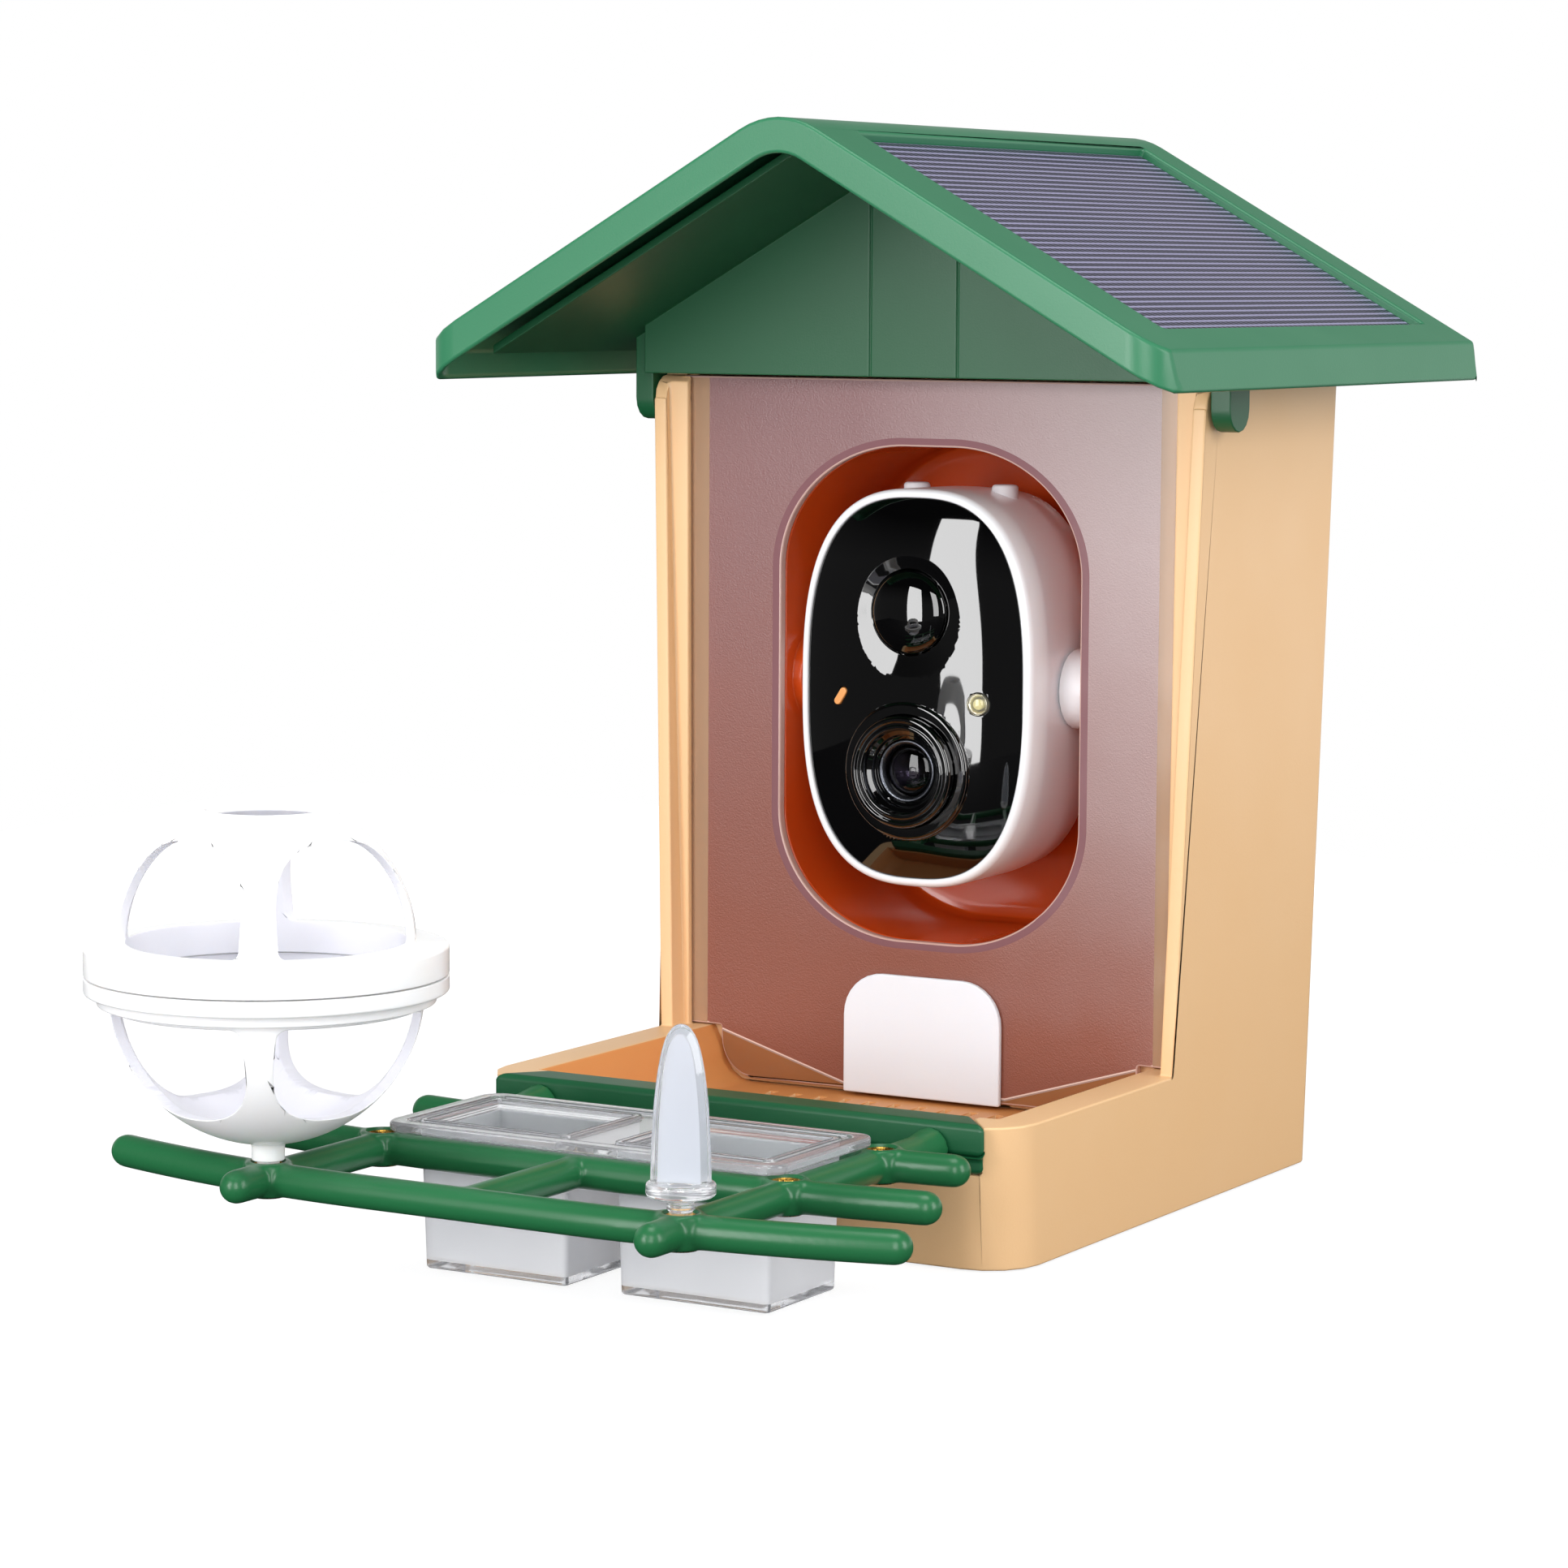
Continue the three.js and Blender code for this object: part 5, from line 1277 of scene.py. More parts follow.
    def face(self) -> Object:
        """Builds the domed black face with its dish, its lens surround and its holes.

        Returns:
            The face.
        """
        inset = self.wall + self.face_play
        reach = self.half[0] - inset
        depth = self.face_bulge + self.edge
        rings = [self.ring(self.face_back, inset + FIT), self.ring(self.rim, inset)]
        steps, reach_share, power = 22, 0.86, 2.4
        for i in range(1, steps + 1):
            share = i / steps
            rise = 1 - (1 - share) ** power
            rings.append(self.ring(self.rim - depth * rise, inset + reach * reach_share * share))
        plate = loft("camera_face_black", Axis.Y, rings)
        sensor = (0.0, self.centre + self.sensor_rise)
        lens = (0.0, self.centre - self.lens_drop)
        front = self.rim - depth
        outer, inner = self.dish
        soft, dip = self.dish_edge, 0.02
        floor = front + self.dish_depth
        dish = revolve("dish", Axis.Y, [
            (0, floor), (inner, floor), (inner + soft, floor - dip),
            *((inner + soft + (outer - inner - 2 * soft) * share,
               floor - dip - self.dish_depth * share)
              for share in (0.2, 0.5, 0.8, 1.0)),
            (outer, floor - self.dish_depth - 0.15), (outer + 0.05, front - PAST),
            (0, front - PAST)], sensor, self.sides)
        lead = self.rim - self.surround_lead
        surround = revolve("surround", Axis.Y, [
            (0, self.face_back - 0.5), (self.surround - 0.6, self.face_back - 0.5),
            (self.surround - 0.4, self.rim), (self.surround, self.rim - self.face_bulge / 2),
            *arc((self.surround - 1.0, lead + 1.0), 1.0, 0, -90, 5), (0, lead)], lens, self.sides)
        work(plate, Cut.TAKE, [dish])
        work(plate, Cut.JOIN, [surround])
        reach_y = (front - 2 * PAST, self.face_back + PAST)
        play, lens_play = 0.12, 0.2

        def hole(radius: float, place: Point2) -> Object:
            """Returns the cutter of a round hole."""
            outline = arc(place, radius, 0, 360 - 360 / self.sides, self.sides - 1)
            return prism("hole", Axis.Y, outline, *reach_y)

        work(plate, Cut.TAKE, [
            hole(self.motion_radius + play, sensor), hole(self.barrel + lens_play, lens),
            hole(self.lamp_radius + play, self.lamp_place),
            prism("slot", Axis.Y, self.slot_outline(self.slot_width / 2 + 0.1), *reach_y)])
        round_edges(plate, 0.16, 3, 30)
        return dress(plate, BLACK)

    def slot_outline(self, radius: float) -> Outline:
        """Places points on the slanted light window.

        Args:
            radius: half its width.

        Returns:
            The points.
        """
        lean = 90 - self.slot_lean
        reach = (self.slot_length - self.slot_width) / 2
        dx = reach * math.cos(math.radians(lean))
        dz = reach * math.sin(math.radians(lean))
        x, z = self.slot_place
        return [
            *arc((x + dx, z + dz), radius, lean - 90, lean + 90, 10),
            *arc((x - dx, z - dz), radius, lean + 90, lean + 270, 10),
        ]

    def lens(self) -> None:
        """Builds the barrel with its stepped rings, the inner ring and the glass."""
        place = (0.0, self.centre - self.lens_drop)
        front = self.rim - self.barrel_lead
        glass_back = self.rim - self.edge
        step = self.ring_radius / 4
        middle = (self.barrel + self.ring_radius) / 2
        barrel = revolve("lens_barrel_black", Axis.Y, [
            (0, self.barrel_back), (self.barrel, self.barrel_back), (self.barrel, front + 1.1),
            *arc((self.barrel - 0.9, front + 0.9), 0.9, 0, -90, 6),
            (self.barrel - 1.3, front), (self.barrel - 1.6, front + 0.35),
            (middle + 0.9, front + 0.35), (middle + 0.6, front + 0.1), (middle, front + 0.1),
            (middle - 0.3, front + 0.5), (middle - 0.5, front + step),
            (self.ring_radius + 1.4, front + step * 1.3),
            (self.ring_radius + 1.1, front + step * 1.9),
            (self.ring_radius + FIT, front + step * 2),
            (self.ring_radius + FIT, glass_back), (0, glass_back)], place, self.sides)
        round_edges(barrel, 0.12, 2, 25)
        seat(dress(barrel, BLACK), "camera", "black_gloss", "lens_barrel")
        inner = self.glass_radius + 0.1
        ring = revolve("lens_ring_grey", Axis.Y, [
            (inner, glass_back - FIT), (self.ring_radius, glass_back - FIT),
            (self.ring_radius, front + step * 2), (self.ring_radius - 0.35, front + step * 1.85),
            (inner + 0.25, front + step * 2.2), (inner, front + step * 2.4)],
            place, self.sides, ring=True)
        seat(dress(ring, GUNMETAL), "camera", "steel", "lens_ring")
        dome = self.dome(self.glass_radius, glass_back - 2 * FIT, self.glass_radius / 2.6, 12)
        glass = revolve("lens_glass_coated", Axis.Y, [
            (0, glass_back - FIT), (self.glass_radius, glass_back - FIT), *dome],
            place, self.sides)
        seat(dress(glass, COATED), "camera", "lens_glass", "lens_glass")
        self.pupil(place, glass_back - FIT)

    def dome(self, radius: float, foot: float, rise: float, steps: int) -> Outline:
        """Returns radius and depth on a dome that stands out to the front from its foot."""
        angles = (math.pi / 2 * i / steps for i in range(steps + 1))
        return [(radius * math.cos(t), foot - rise * math.sin(t)) for t in angles]

    def pupil(self, place: Point2, back: float) -> None:
        """Builds the dark pupil that shows behind the glass.

        Args:
            place: X and height of the lens.
            back: where the glass starts.
        """
        outer, hole, deep, shallow = 0.95, 0.5, 0.23, 0.03
        pupil = revolve("lens_pupil", Axis.Y, [
            (0, back + deep), (self.glass_radius * outer, back + deep),
            (self.glass_radius * outer, back + shallow), (self.glass_radius * hole, back + shallow),
            (self.glass_radius * 0.42, back + 0.18), (0, back + 0.18)], place, self.small_sides)
        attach(dress(pupil, BLACK_SATIN), "camera")

    def sensor(self) -> None:
        """Builds the dome of the motion sensor."""
        place = (0.0, self.centre + self.sensor_rise)
        foot = self.rim - self.face_bulge - self.edge + self.dish_depth
        dome = self.dome(self.motion_radius, foot, self.motion_dome, 24)
        back, flange = self.face_back + self.foot_depth, self.motion_radius + self.foot_depth
        lens = revolve("motion_lens_dome", Axis.Y, [
            (0, back), (flange, back), (flange, self.face_back + FIT),
            (self.motion_radius, self.face_back + FIT), *dome], place, self.sides)
        seat(dress(lens, BLACK), "camera", "black_gloss", "motion_lens")

    def lights(self) -> None:
        """Builds the round lamp and the slanted light window."""
        front, back = self.rim - self.face_bulge, self.face_back + self.foot_depth
        dome = self.dome(self.lamp_radius, front, self.lamp_radius / 2, 10)
        lamp = revolve(
            "lamp_lens_clear", Axis.Y, [(0, back), (self.lamp_radius, back), *dome],
            self.lamp_place, self.small_sides)
        seat(dress(lamp, LAMP), "camera", "clear_plastic", "lamp_lens")
        chip_radius = self.lamp_radius * 0.38
        chip = revolve("lamp_chip", Axis.Y, [
            (0, front + 1.6), (chip_radius, front + 1.6), (chip_radius, front + 1.0),
            (chip_radius - 0.2, front + 0.8), (0, front + 0.7)],
            self.lamp_place, self.small_sides // 2)
        cup_radius = self.lamp_radius - 0.25
        cup = revolve("lamp_reflector", Axis.Y, [
            (chip_radius, front + 1.7), (cup_radius, front + 0.3), (cup_radius, front + 0.1),
            (cup_radius - 0.15, front + 0.1), (chip_radius, front + 1.5)],
            self.lamp_place, self.small_sides, ring=True)
        for piece, finish in ((chip, PHOSPHOR), (cup, SILVER)):
            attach(dress(piece, finish), "camera")
        slot = prism(
            "light_window_amber", Axis.Y, self.slot_outline(self.slot_width / 2), front - 0.1,
            back)
        round_edges(slot, 0.3, 3)
        seat(dress(slot, AMBER), "camera", "amber_window", "light_window")

    def buttons(self) -> None:
        """Builds the two soft buttons on top of the case."""
        for node, body in (("power_button", "button_power"), ("pairing_button", "button_pairing")):
            low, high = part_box(node)
            place = ((low.x + high.x) / 2 / MM, (low.y + high.y) / 2 / MM)
            foot, top = low.z / MM, high.z / MM
            radius = (high.x - low.x) / 2 / MM
            flange, soft = 1.5, 0.9
            stem = radius - soft
            button = revolve(f"{node}_soft", Axis.Z, [
                (0, foot), (radius, foot), (radius, foot + flange), (stem, foot + flange),
                (stem, top - soft), *arc((stem - soft, top - soft), soft, 0, 90, 6), (0, top)],
                place, self.small_sides)
            seat(dress(button, SILICONE), body, "soft_rubber", node)

    def bay(self) -> Object:
        """Builds the glossy tub behind the window, with its bosses and its posts.

        Returns:
            The tub.
        """
        back, corner = self.bay_front + self.bay_depth, self.bay_corner

        def at(depth: float, inset: float) -> tuple[float, Outline]:
            """Returns a section of the tub."""
            return depth, window_outline(-inset)

        tub = loft("camera_bay_gloss", Axis.Y, [
            at(self.bay_front, -self.bay_wall), at(back + self.bay_wall - corner, -self.bay_wall),
            at(back + self.bay_wall, corner - self.bay_wall)])
        inside = loft("inside", Axis.Y, [
            at(self.bay_front - PAST, 0), at(back - corner, 0), at(back - corner / 4, corner / 4),
            at(back, corner)])
        work(tub, Cut.TAKE, [inside])
        bosses = []
        for side in (-1, 1):
            outline = arc((self.tilt_y, self.centre), self.boss_radius, 0, 354, 59)
            ends = sorted((side * self.boss_face, side * (WINDOW_HALF[0] + self.bay_wall / 2)))
            bosses.append(prism("boss", Axis.X, outline, *ends))
        for side in (-1, 1):
            place = (0, WINDOW_CENTRE + side * self.post_spacing / 2)
            bosses.append(prism(
                "post", Axis.Y, arc(place, self.post_radius, 0, 350, 35),
                back + self.bay_wall / 2, self.post_back))
        work(tub, Cut.JOIN, bosses)
        round_edges(tub, 0.4, 2, 40)
        return dress(tub, RUST)

    def build(self) -> None:
        """Builds and dresses the pieces."""
        seat(self.case(), "camera", "white_plastic", "camera_case")
        seat(self.face(), "camera", "black_gloss", "camera_face")
        self.lens()
        self.sensor()
        self.lights()
        self.buttons()
        seat(self.bay(), "root", "bay_plastic", "camera_bay")
        for node, width_mm, finish in (
            ("tilt_pivot_left", 0.5, WHITE), ("tilt_pivot_right", 0.5, WHITE),
            ("camera_back_cover", 0.5, WHITE), ("port_cover", 0.3, SILICONE),
            ("motion_sensor", 0.2, ZINC), ("circuit_board", 0.1, MASK),
            ("battery_left", 0.6, SLEEVE), ("battery_right", 0.6, SLEEVE),
        ):
            dress(soften_cad(node, width_mm), finish)


@dataclass
class Row:
    """One swept rod of the perch.

    Attributes:
        middle: Y of its middle.
        half: half its length.
        sweep: how far its ends sweep back.
        straight: half the length of its straight middle.
    """

    middle: float
    half: float
    sweep: float
    straight: float = 25.0

    def y_at(self, x: float) -> float:
        """Returns the rod's Y at an X."""
        beyond = max(abs(x) - self.straight, 0) / (self.half - self.straight)
        return self.middle + self.sweep * beyond**2


@dataclass
class Perch:
    """The green bar and the perch frame that plugs into it.

    Attributes:
        rows: the three rods across.
        radius: radius of the rods.
        level: height of their middle line.
        grow: what the rods gain in the scene, which the smoothing takes back.
        node_radius: radius of the bosses where the rods cross.
        boss_proud: how far the bosses stand over the rods.
        stub: how far the side rods reach past the front rod.
        socket: where the side rods enter the bar.
        socket_depth: how deep they go in.
        side_bend: a middle point of the side rods.
        centre_bend: a middle point of the short rod.
        cone: where the cones before the sockets start and end.
        cone_radius: their greatest radius.
        voxel: grain of the skin over the rods.
        smoothing: rounds of smoothing of that skin.
        bore: radius of the holes for the inserts.
        bore_foot: where these holes start.
        bar_plan: front, back, half front length and half back length of the bar.
        bar_levels: foot, step and top of the bar.
        bar_step: depth of its step.
        bar_round: rounding of its edges.
    """

    rows: tuple[Row, Row, Row] = (
        Row(-193.3, 98.8, 11.0), Row(-151.4, 85.4, 5.4), Row(-111.3, 71.6, 3.3))
    radius: float = 3.55
    level: float = 27.5
    grow: float = 0.06
    node_radius: float = 5.0
    boss_proud: float = 0.1
    stub: float = 14.7
    socket: float = -80.5
    socket_depth: float = 3.8
    side_bend: float = -100.0
    centre_bend: float = -170.0
    cone: Point2 = (-95.0, -87.9)
    cone_radius: float = 4.6
    voxel: float = 0.5
    smoothing: int = 9
    bore: float = 3.8
    bore_foot: float = 23.2
    bar_plan: tuple[float, float, float, float] = (-87.5, -77.0, 64.3, 55.6)
    bar_levels: Point3 = (22.2, 26.2, 33.4)
    bar_step: float = 0.5
    bar_round: float = 1.5

    def places(self) -> list[Point2]:
        """Returns the six places where the rods cross."""
        return [(side * NODE_X, row.y_at(NODE_X)) for row in self.rows for side in (-1, 1)]

    def frame(self) -> Object:
        """Builds the whole frame in one skin, with soft fillets where its rods meet.

        Returns:
            The frame.
        """
        grown = self.radius + self.grow
        steps = 40
        rods = []
        for i, row in enumerate(self.rows):
            ends = row.half - self.radius
            xs = [-ends + 2 * ends * k / steps for k in range(steps + 1)]
            rods.append(rod(f"row_{i}", [(x, row.y_at(x), self.level) for x in xs], grown))
        front = self.rows[0].y_at(NODE_X) - self.stub + self.radius
        for side in (-1, 1):
            ys = (front, self.side_bend, self.socket - self.socket_depth)
            rods.append(rod("side", [(side * NODE_X, y, self.level) for y in ys], grown))
        ys = (self.rows[0].middle, self.centre_bend, self.rows[1].middle)
        rods.append(rod("centre", [(0.0, y, self.level) for y in ys], grown))
        top = self.level + self.radius + self.boss_proud + 0.1
        foot = self.level - self.radius - 0.15
        for place in self.places():
            rods.append(revolve("boss", Axis.Z, [
                (0, foot), (self.node_radius - 0.8, foot), (self.node_radius + 0.6, self.level),
                (self.node_radius - 0.1, top), (0, top)], place, 32))
        for side in (-1, 1):
            start, end = self.cone
            profile = [(0, start), (grown, start), (self.cone_radius, end), (0, end)]
            rods.append(revolve("cone", Axis.Y, profile, (side * NODE_X, self.level), 40))
        whole = rods[0]
        with bpy.context.temp_override(
            active_object=whole, object=whole, selected_objects=rods,
            selected_editable_objects=rods,
        ):
            bpy.ops.object.join()
        whole.name = "perch_frame_filleted"
        skin = whole.modifiers.new("skin", "REMESH")
        skin.mode = "VOXEL"
        skin.voxel_size = self.voxel * MM
        settle(whole)
        even = whole.modifiers.new("even", "SMOOTH")
        even.factor = 0.5
        even.iterations = self.smoothing
        settle(whole)
        work(whole, Cut.TAKE, [
            prism("bore", Axis.Z, arc(place, self.bore, 0, 350, 35), self.bore_foot, top + PAST)
            for place in self.places()])
        return dress(whole, GREEN_ROD)

    def bar(self) -> Object:
        """Builds the bar across the tray, its top edge widely rounded.

        Returns:
            The bar.
        """
        front, back, half_front, half_back = self.bar_plan
        foot, step, top = self.bar_levels
        outline = [
            (-half_front, front), (half_front, front), (half_back, back), (-half_back, back)]
        body = prism("front_bar_rounded", Axis.Z, outline, foot, top)
        side, lead, inner = half_front + PAST, front - PAST, front + self.bar_step
        work(body, Cut.TAKE, [prism(
            "step", Axis.Z, [(-side, lead), (side, lead), (side, inner), (-side, inner)],
            foot - PAST, step)])
        round_edges(body, self.bar_round, 5)
        return dress(body, GREEN)

    def insert(self, node: str) -> None:
        """Builds a brass insert with a ringed bore in place of a CAD one.

        Args:
            node: the CAD node.
        """
        low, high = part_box(node)
        place = ((low.x + high.x) / 2 / MM, (low.y + high.y) / 2 / MM)
        foot, top = low.z / MM, high.z / MM
        outer, bore, pitch, lead, chamfer, depth = 3.5, 2.7, 1.0, 0.4, 0.3, 0.25
        thread = []
        turns = int((top - foot - 2 * lead) / pitch)
        for i in range(turns):
            z = foot + lead + pitch * i
            thread += [(bore + depth, z), (bore, z + pitch / 2)]
        profile = [(outer, foot), (outer, top - chamfer), (outer - chamfer, top),
                   (bore + lead, top), *reversed(thread), (bore + chamfer, foot)]
        piece = revolve(f"{node}_threaded", Axis.Z, profile, place, 40, ring=True)
        seat(dress(piece, BRASS), "root", "brass", node)

    def build(self) -> None:
        """Builds and dresses the pieces."""
        seat(self.bar(), "root", "green_plastic", "front_bar")
        seat(self.frame(), "root", "green_plastic", "perch_frame")
        for row in ("front", "middle", "rear"):
            for side in ("left", "right"):
                self.insert(f"insert_{row}_{side}")


@dataclass
class Cups:
    """The clear twin cup that hangs between the rods by its rim.

    Attributes:
        rim: left, right, front and back of the rim.
        rim_height: thickness of the rim.
        corner: radius of its corners.
        lip: width of the raised lip round it.
        inner_x: where a cup starts, from the middle.
        outer_x: where it ends.
        ys: its front and back.
        foot: height of its foot.
        wall: thickness of its walls.
        floor: thickness of its floor.
        band: height of the clear band at its foot.
        draft: how far it narrows to its foot.
        bead: width of the bead round each mouth.
        bead_out: how far the bead stands outside the cup.
        bead_height: thickness of the bead.
    """

    rim: tuple[float, float, float, float] = (-50.0, 50.0, -152.5, -109.0)
    rim_height: float = 2.2
    corner: float = 5.0
    lip: float = 3.6
    inner_x: float = 6.0
    outer_x: float = 44.5
    ys: Point2 = (-146.0, -115.4)
    foot: float = 0.5
    wall: float = 1.5
    floor: float = 2.4
    band: float = 2.0
    draft: float = 0.8
    bead: float = 1.6
    bead_out: float = 0.3
    bead_height: float = 0.95

    def mouth(self, side: int, inset: float, radius: float) -> Outline:
        """Returns a rounded rectangle round one cup, drawn in by an inset."""
        x0, x1 = sorted((side * (self.inner_x + inset), side * (self.outer_x - inset)))
        return rounded(x0, x1, self.ys[0] + inset, self.ys[1] - inset, radius, 5)

    def block(self, side: int, inset: float, foot: float, top: float) -> Object:
        """Builds a tapered block of a cup.

        Args:
            side: -1 for the left cup or 1 for the right one.
            inset: how far the block is drawn in.
            foot: height of its foot.
            top: height of its top.

        Returns:
            The block.
        """
        radius = self.wall - inset / 2

        def outline(shrink: float) -> Outline:
            """Returns the block's section where the draft has drawn it in."""
            return self.mouth(side, inset + shrink, radius)

        split = self.band / (top - foot)
        return loft("cup", Axis.Z, [
            (foot, outline(self.draft)), (foot + self.band, outline(self.draft * (1 - split))),
            (top, outline(0.0))])

    def build(self) -> None:
        """Builds and dresses the cups."""
        top = SEAT_LEVEL + self.rim_height
        ledge = top - self.rim_height / 3
        x0, x1, y0, y1 = self.rim
        whole = prism(
            "twin_cup_clear", Axis.Z, rounded(x0, x1, y0, y1, self.corner), SEAT_LEVEL, top)
        half_rim = self.rim_height / 2
        work(whole, Cut.JOIN, [
            self.block(side, 0.0, self.foot, top - half_rim) for side in (-1, 1)])
        inside = rounded(
            x0 + self.lip, x1 - self.lip, y0 + self.lip, y1 - self.lip, self.corner / 2)
        work(whole, Cut.TAKE, [prism("lip", Axis.Z, inside, ledge, top + PAST)])
        work(whole, Cut.TAKE, [
            self.block(side, self.wall, self.foot + self.floor, top + PAST) for side in (-1, 1)])
        low = ledge - FIT
        for side in (-1, 1):
            outer = self.mouth(side, -self.bead_out, self.bead + 0.2)
            inner = self.mouth(side, self.bead - self.bead_out, self.bead / 2)
            frame = prism("bead", Axis.Z, outer, low, low + self.bead_height)
            hole = prism("bead_hole", Axis.Z, inner, low - 1, low + PAST)
            work(whole, Cut.JOIN, [work(frame, Cut.TAKE, [hole])])
        dress(whole, CRYSTAL, CLOUDED)
        upright = 0.2
        middle = Vector(((x0 + x1) / 2, (y0 + y1) / 2, 0)) * MM
        cup_x = (self.inner_x + self.outer_x) / 2 * MM
        for polygon in whole.data.polygons:
            height = polygon.center.z / MM
            in_wall = self.foot + self.band < height < SEAT_LEVEL - 1
            upright_wall = in_wall and abs(polygon.normal.z) < upright
            axis = middle + Vector((math.copysign(cup_x, polygon.center.x), 0, 0))
            outward = (polygon.center - axis).xy.dot(polygon.normal.xy) > 0
            polygon.material_index = 1 if upright_wall and outward else 0
        round_edges(whole, 0.7, 5, 40)
        seat(whole, "cups", "clear_plastic", "twin_cup")


@dataclass
class BallCage:
    """The white ball for suet: two shells with four windows each, joined at a flange.

    Attributes:
        centre: X and Y of the ball.
        lower_radius: radius of the lower half.
        lower_foot: height of its lowest point.
        upper_radius: radius of the upper half.
        upper_centre: height of its centre.
        wall: thickness of both shells.
        flange: radius of the flange.
        step: radius and foot of the step under it.
        flange_foot: height of the flange's foot.
        seam: height of the seam between the halves.
        seam_half: half the gap there.
        flange_top: height of the flange's top.
        hole: radius of the hole at the top.
        rib_half: half the width of a rib between two windows.
        turn_deg: how far the ribs are turned.
        lower_window: foot and top of the lower windows.
        upper_window: foot and top of the upper windows.
        window_power: how square the windows' arches are.
        window_corner: radius of their flat ends' corners.
        edge_mm: rounding of their edges.
        stem_radius: radius of the stem.
        stud_radius: radius of the stud under it.
        stud_length: length of that stud.
        steps: facets round the ball.
    """

    centre: Point2 = (-NODE_X, NODE_Y)
    lower_radius: float = 33.05
    lower_foot: float = 35.1
    upper_radius: float = 31.3
    upper_centre: float = 77.4
    wall: float = 2.0
    flange: float = 38.2
    step: Point2 = (35.5, 65.2)
    flange_foot: float = 67.5
    seam: float = 71.1
    seam_half: float = 0.15
    flange_top: float = 77.4
    hole: float = 12.7
    rib_half: float = 3.2
    turn_deg: float = 33.5
    lower_window: Point2 = (43.0, 64.2)
    upper_window: Point2 = (78.2, 100.6)
    window_power: float = 2.6
    window_corner: float = 1.8
    edge_mm: float = 0.3
    stem_radius: float = 3.5
    stud_radius: float = 2.4
    stud_length: float = 6.0
    steps: int = 128

    def windows(self, radius: float, foot: float, top: float, arch_up: bool) -> list[Object]:
        """Builds the four solids that cut one half's windows.

        Args:
            radius: radius of the half.
            foot: height of the windows' feet.
            top: height of their tops.
            arch_up: whether the arch is at the top.

        Returns:
            The cutters.
        """
        half = radius * math.sqrt(0.5) - self.rib_half
        flat, tip = (foot, top) if arch_up else (top, foot)
        rise = tip - flat
        corner = math.copysign(self.window_corner, rise)
        first = math.degrees(math.asin((corner / rise) ** (self.window_power / 2)))
        bend = 2 / self.window_power
        half_arch = [
            (half * abs(a) ** bend, flat + rise * abs(b) ** bend)
            for a, b in arc((0, 0), 1, first, 90, 32)]
        fillet = [
            (half - abs(corner) * (1 - a), flat + corner * (1 + b))
            for a, b in arc((0, 0), 1, -90, 0, 5)]
        side = fillet + half_arch
        outline = [(self.centre[0] + a, z) for a, z in side]
        outline += [(self.centre[0] - a, z) for a, z in reversed(side[:-1])]
        y, core = self.centre[1], 4.0
        cutters = []
        for quarter in range(4):
            cutter = prism("window", Axis.Y, outline, y - self.flange - PAST, y - core)
            cutters.append(turn(cutter, 45 + self.turn_deg + 90 * quarter, self.centre))
        return cutters

    def shell_arc(
        self, radius: float, middle: float, start: float, end: float, steps: int
    ) -> Outline:
        """Returns radius and height on a sphere between two angles in radians."""
        angles = (start + (end - start) * i / steps for i in range(steps + 1))
        return [(max(radius * math.cos(t), 0.0), middle + radius * math.sin(t)) for t in angles]

    def dress_half(self, half: Object, middle: float) -> Object:
        """Rounds a half and gives its inner faces the white with painted shade.

        Args:
            half: the half.
            middle: height of its sphere's centre.

        Returns:
            The half.
        """
        dress(half, MILK, MILK_PAINTED_SHADE)
        centre = Vector((*self.centre, middle)) * MM
        inward = -0.5
        # Painted shade: the faces that look in towards the sphere's centre get the darker lilac
        # white.
        for polygon in half.data.polygons:
            away = (polygon.center - centre).normalized()
            polygon.material_index = 1 if away.dot(polygon.normal) < inward else 0
        return round_edges(half, self.edge_mm, 2, 35)

    def lower(self) -> Object:
        """Builds the lower half with its stem and stud.

        Returns:
            The half.
        """
        middle = self.lower_foot + self.lower_radius
        seam = self.seam - self.seam_half
        inner = self.lower_radius - self.wall
        rise = math.asin((self.step[1] - middle) / self.lower_radius)
        inner_rise = math.asin((seam - middle) / inner)
        half = revolve("ball_lower_shell", Axis.Z, [
            *self.shell_arc(self.lower_radius, middle, -math.pi / 2, rise, 28), self.step,
            (self.step[0], self.flange_foot),
            *arc((self.flange - 0.6, self.flange_foot + 0.6), 0.6, 270, 360, 4),
            (self.flange, seam), (inner * math.cos(inner_rise), seam),
            *self.shell_arc(inner, middle, inner_rise, -math.pi / 2, 28)[1:]],
            self.centre, self.steps)
        work(half, Cut.TAKE, self.windows(self.lower_radius, *self.lower_window, False))
        foot, stud_foot = SEAT_LEVEL, SEAT_LEVEL - self.stud_length
        flare, root = 1.4, self.lower_foot + 1.2
        wide = self.stem_radius + flare
        stem = revolve("stem", Axis.Z, [
            (0, stud_foot), (self.stud_radius, stud_foot), (self.stud_radius, foot),
            (self.stem_radius, foot), (self.stem_radius, foot + 2.6),
            *arc((wide, self.lower_foot - 0.9), flare, 180, 90, 5), (wide, root), (0, root)],
            self.centre, 48)
        work(half, Cut.JOIN, [stem])
        return self.dress_half(half, middle)

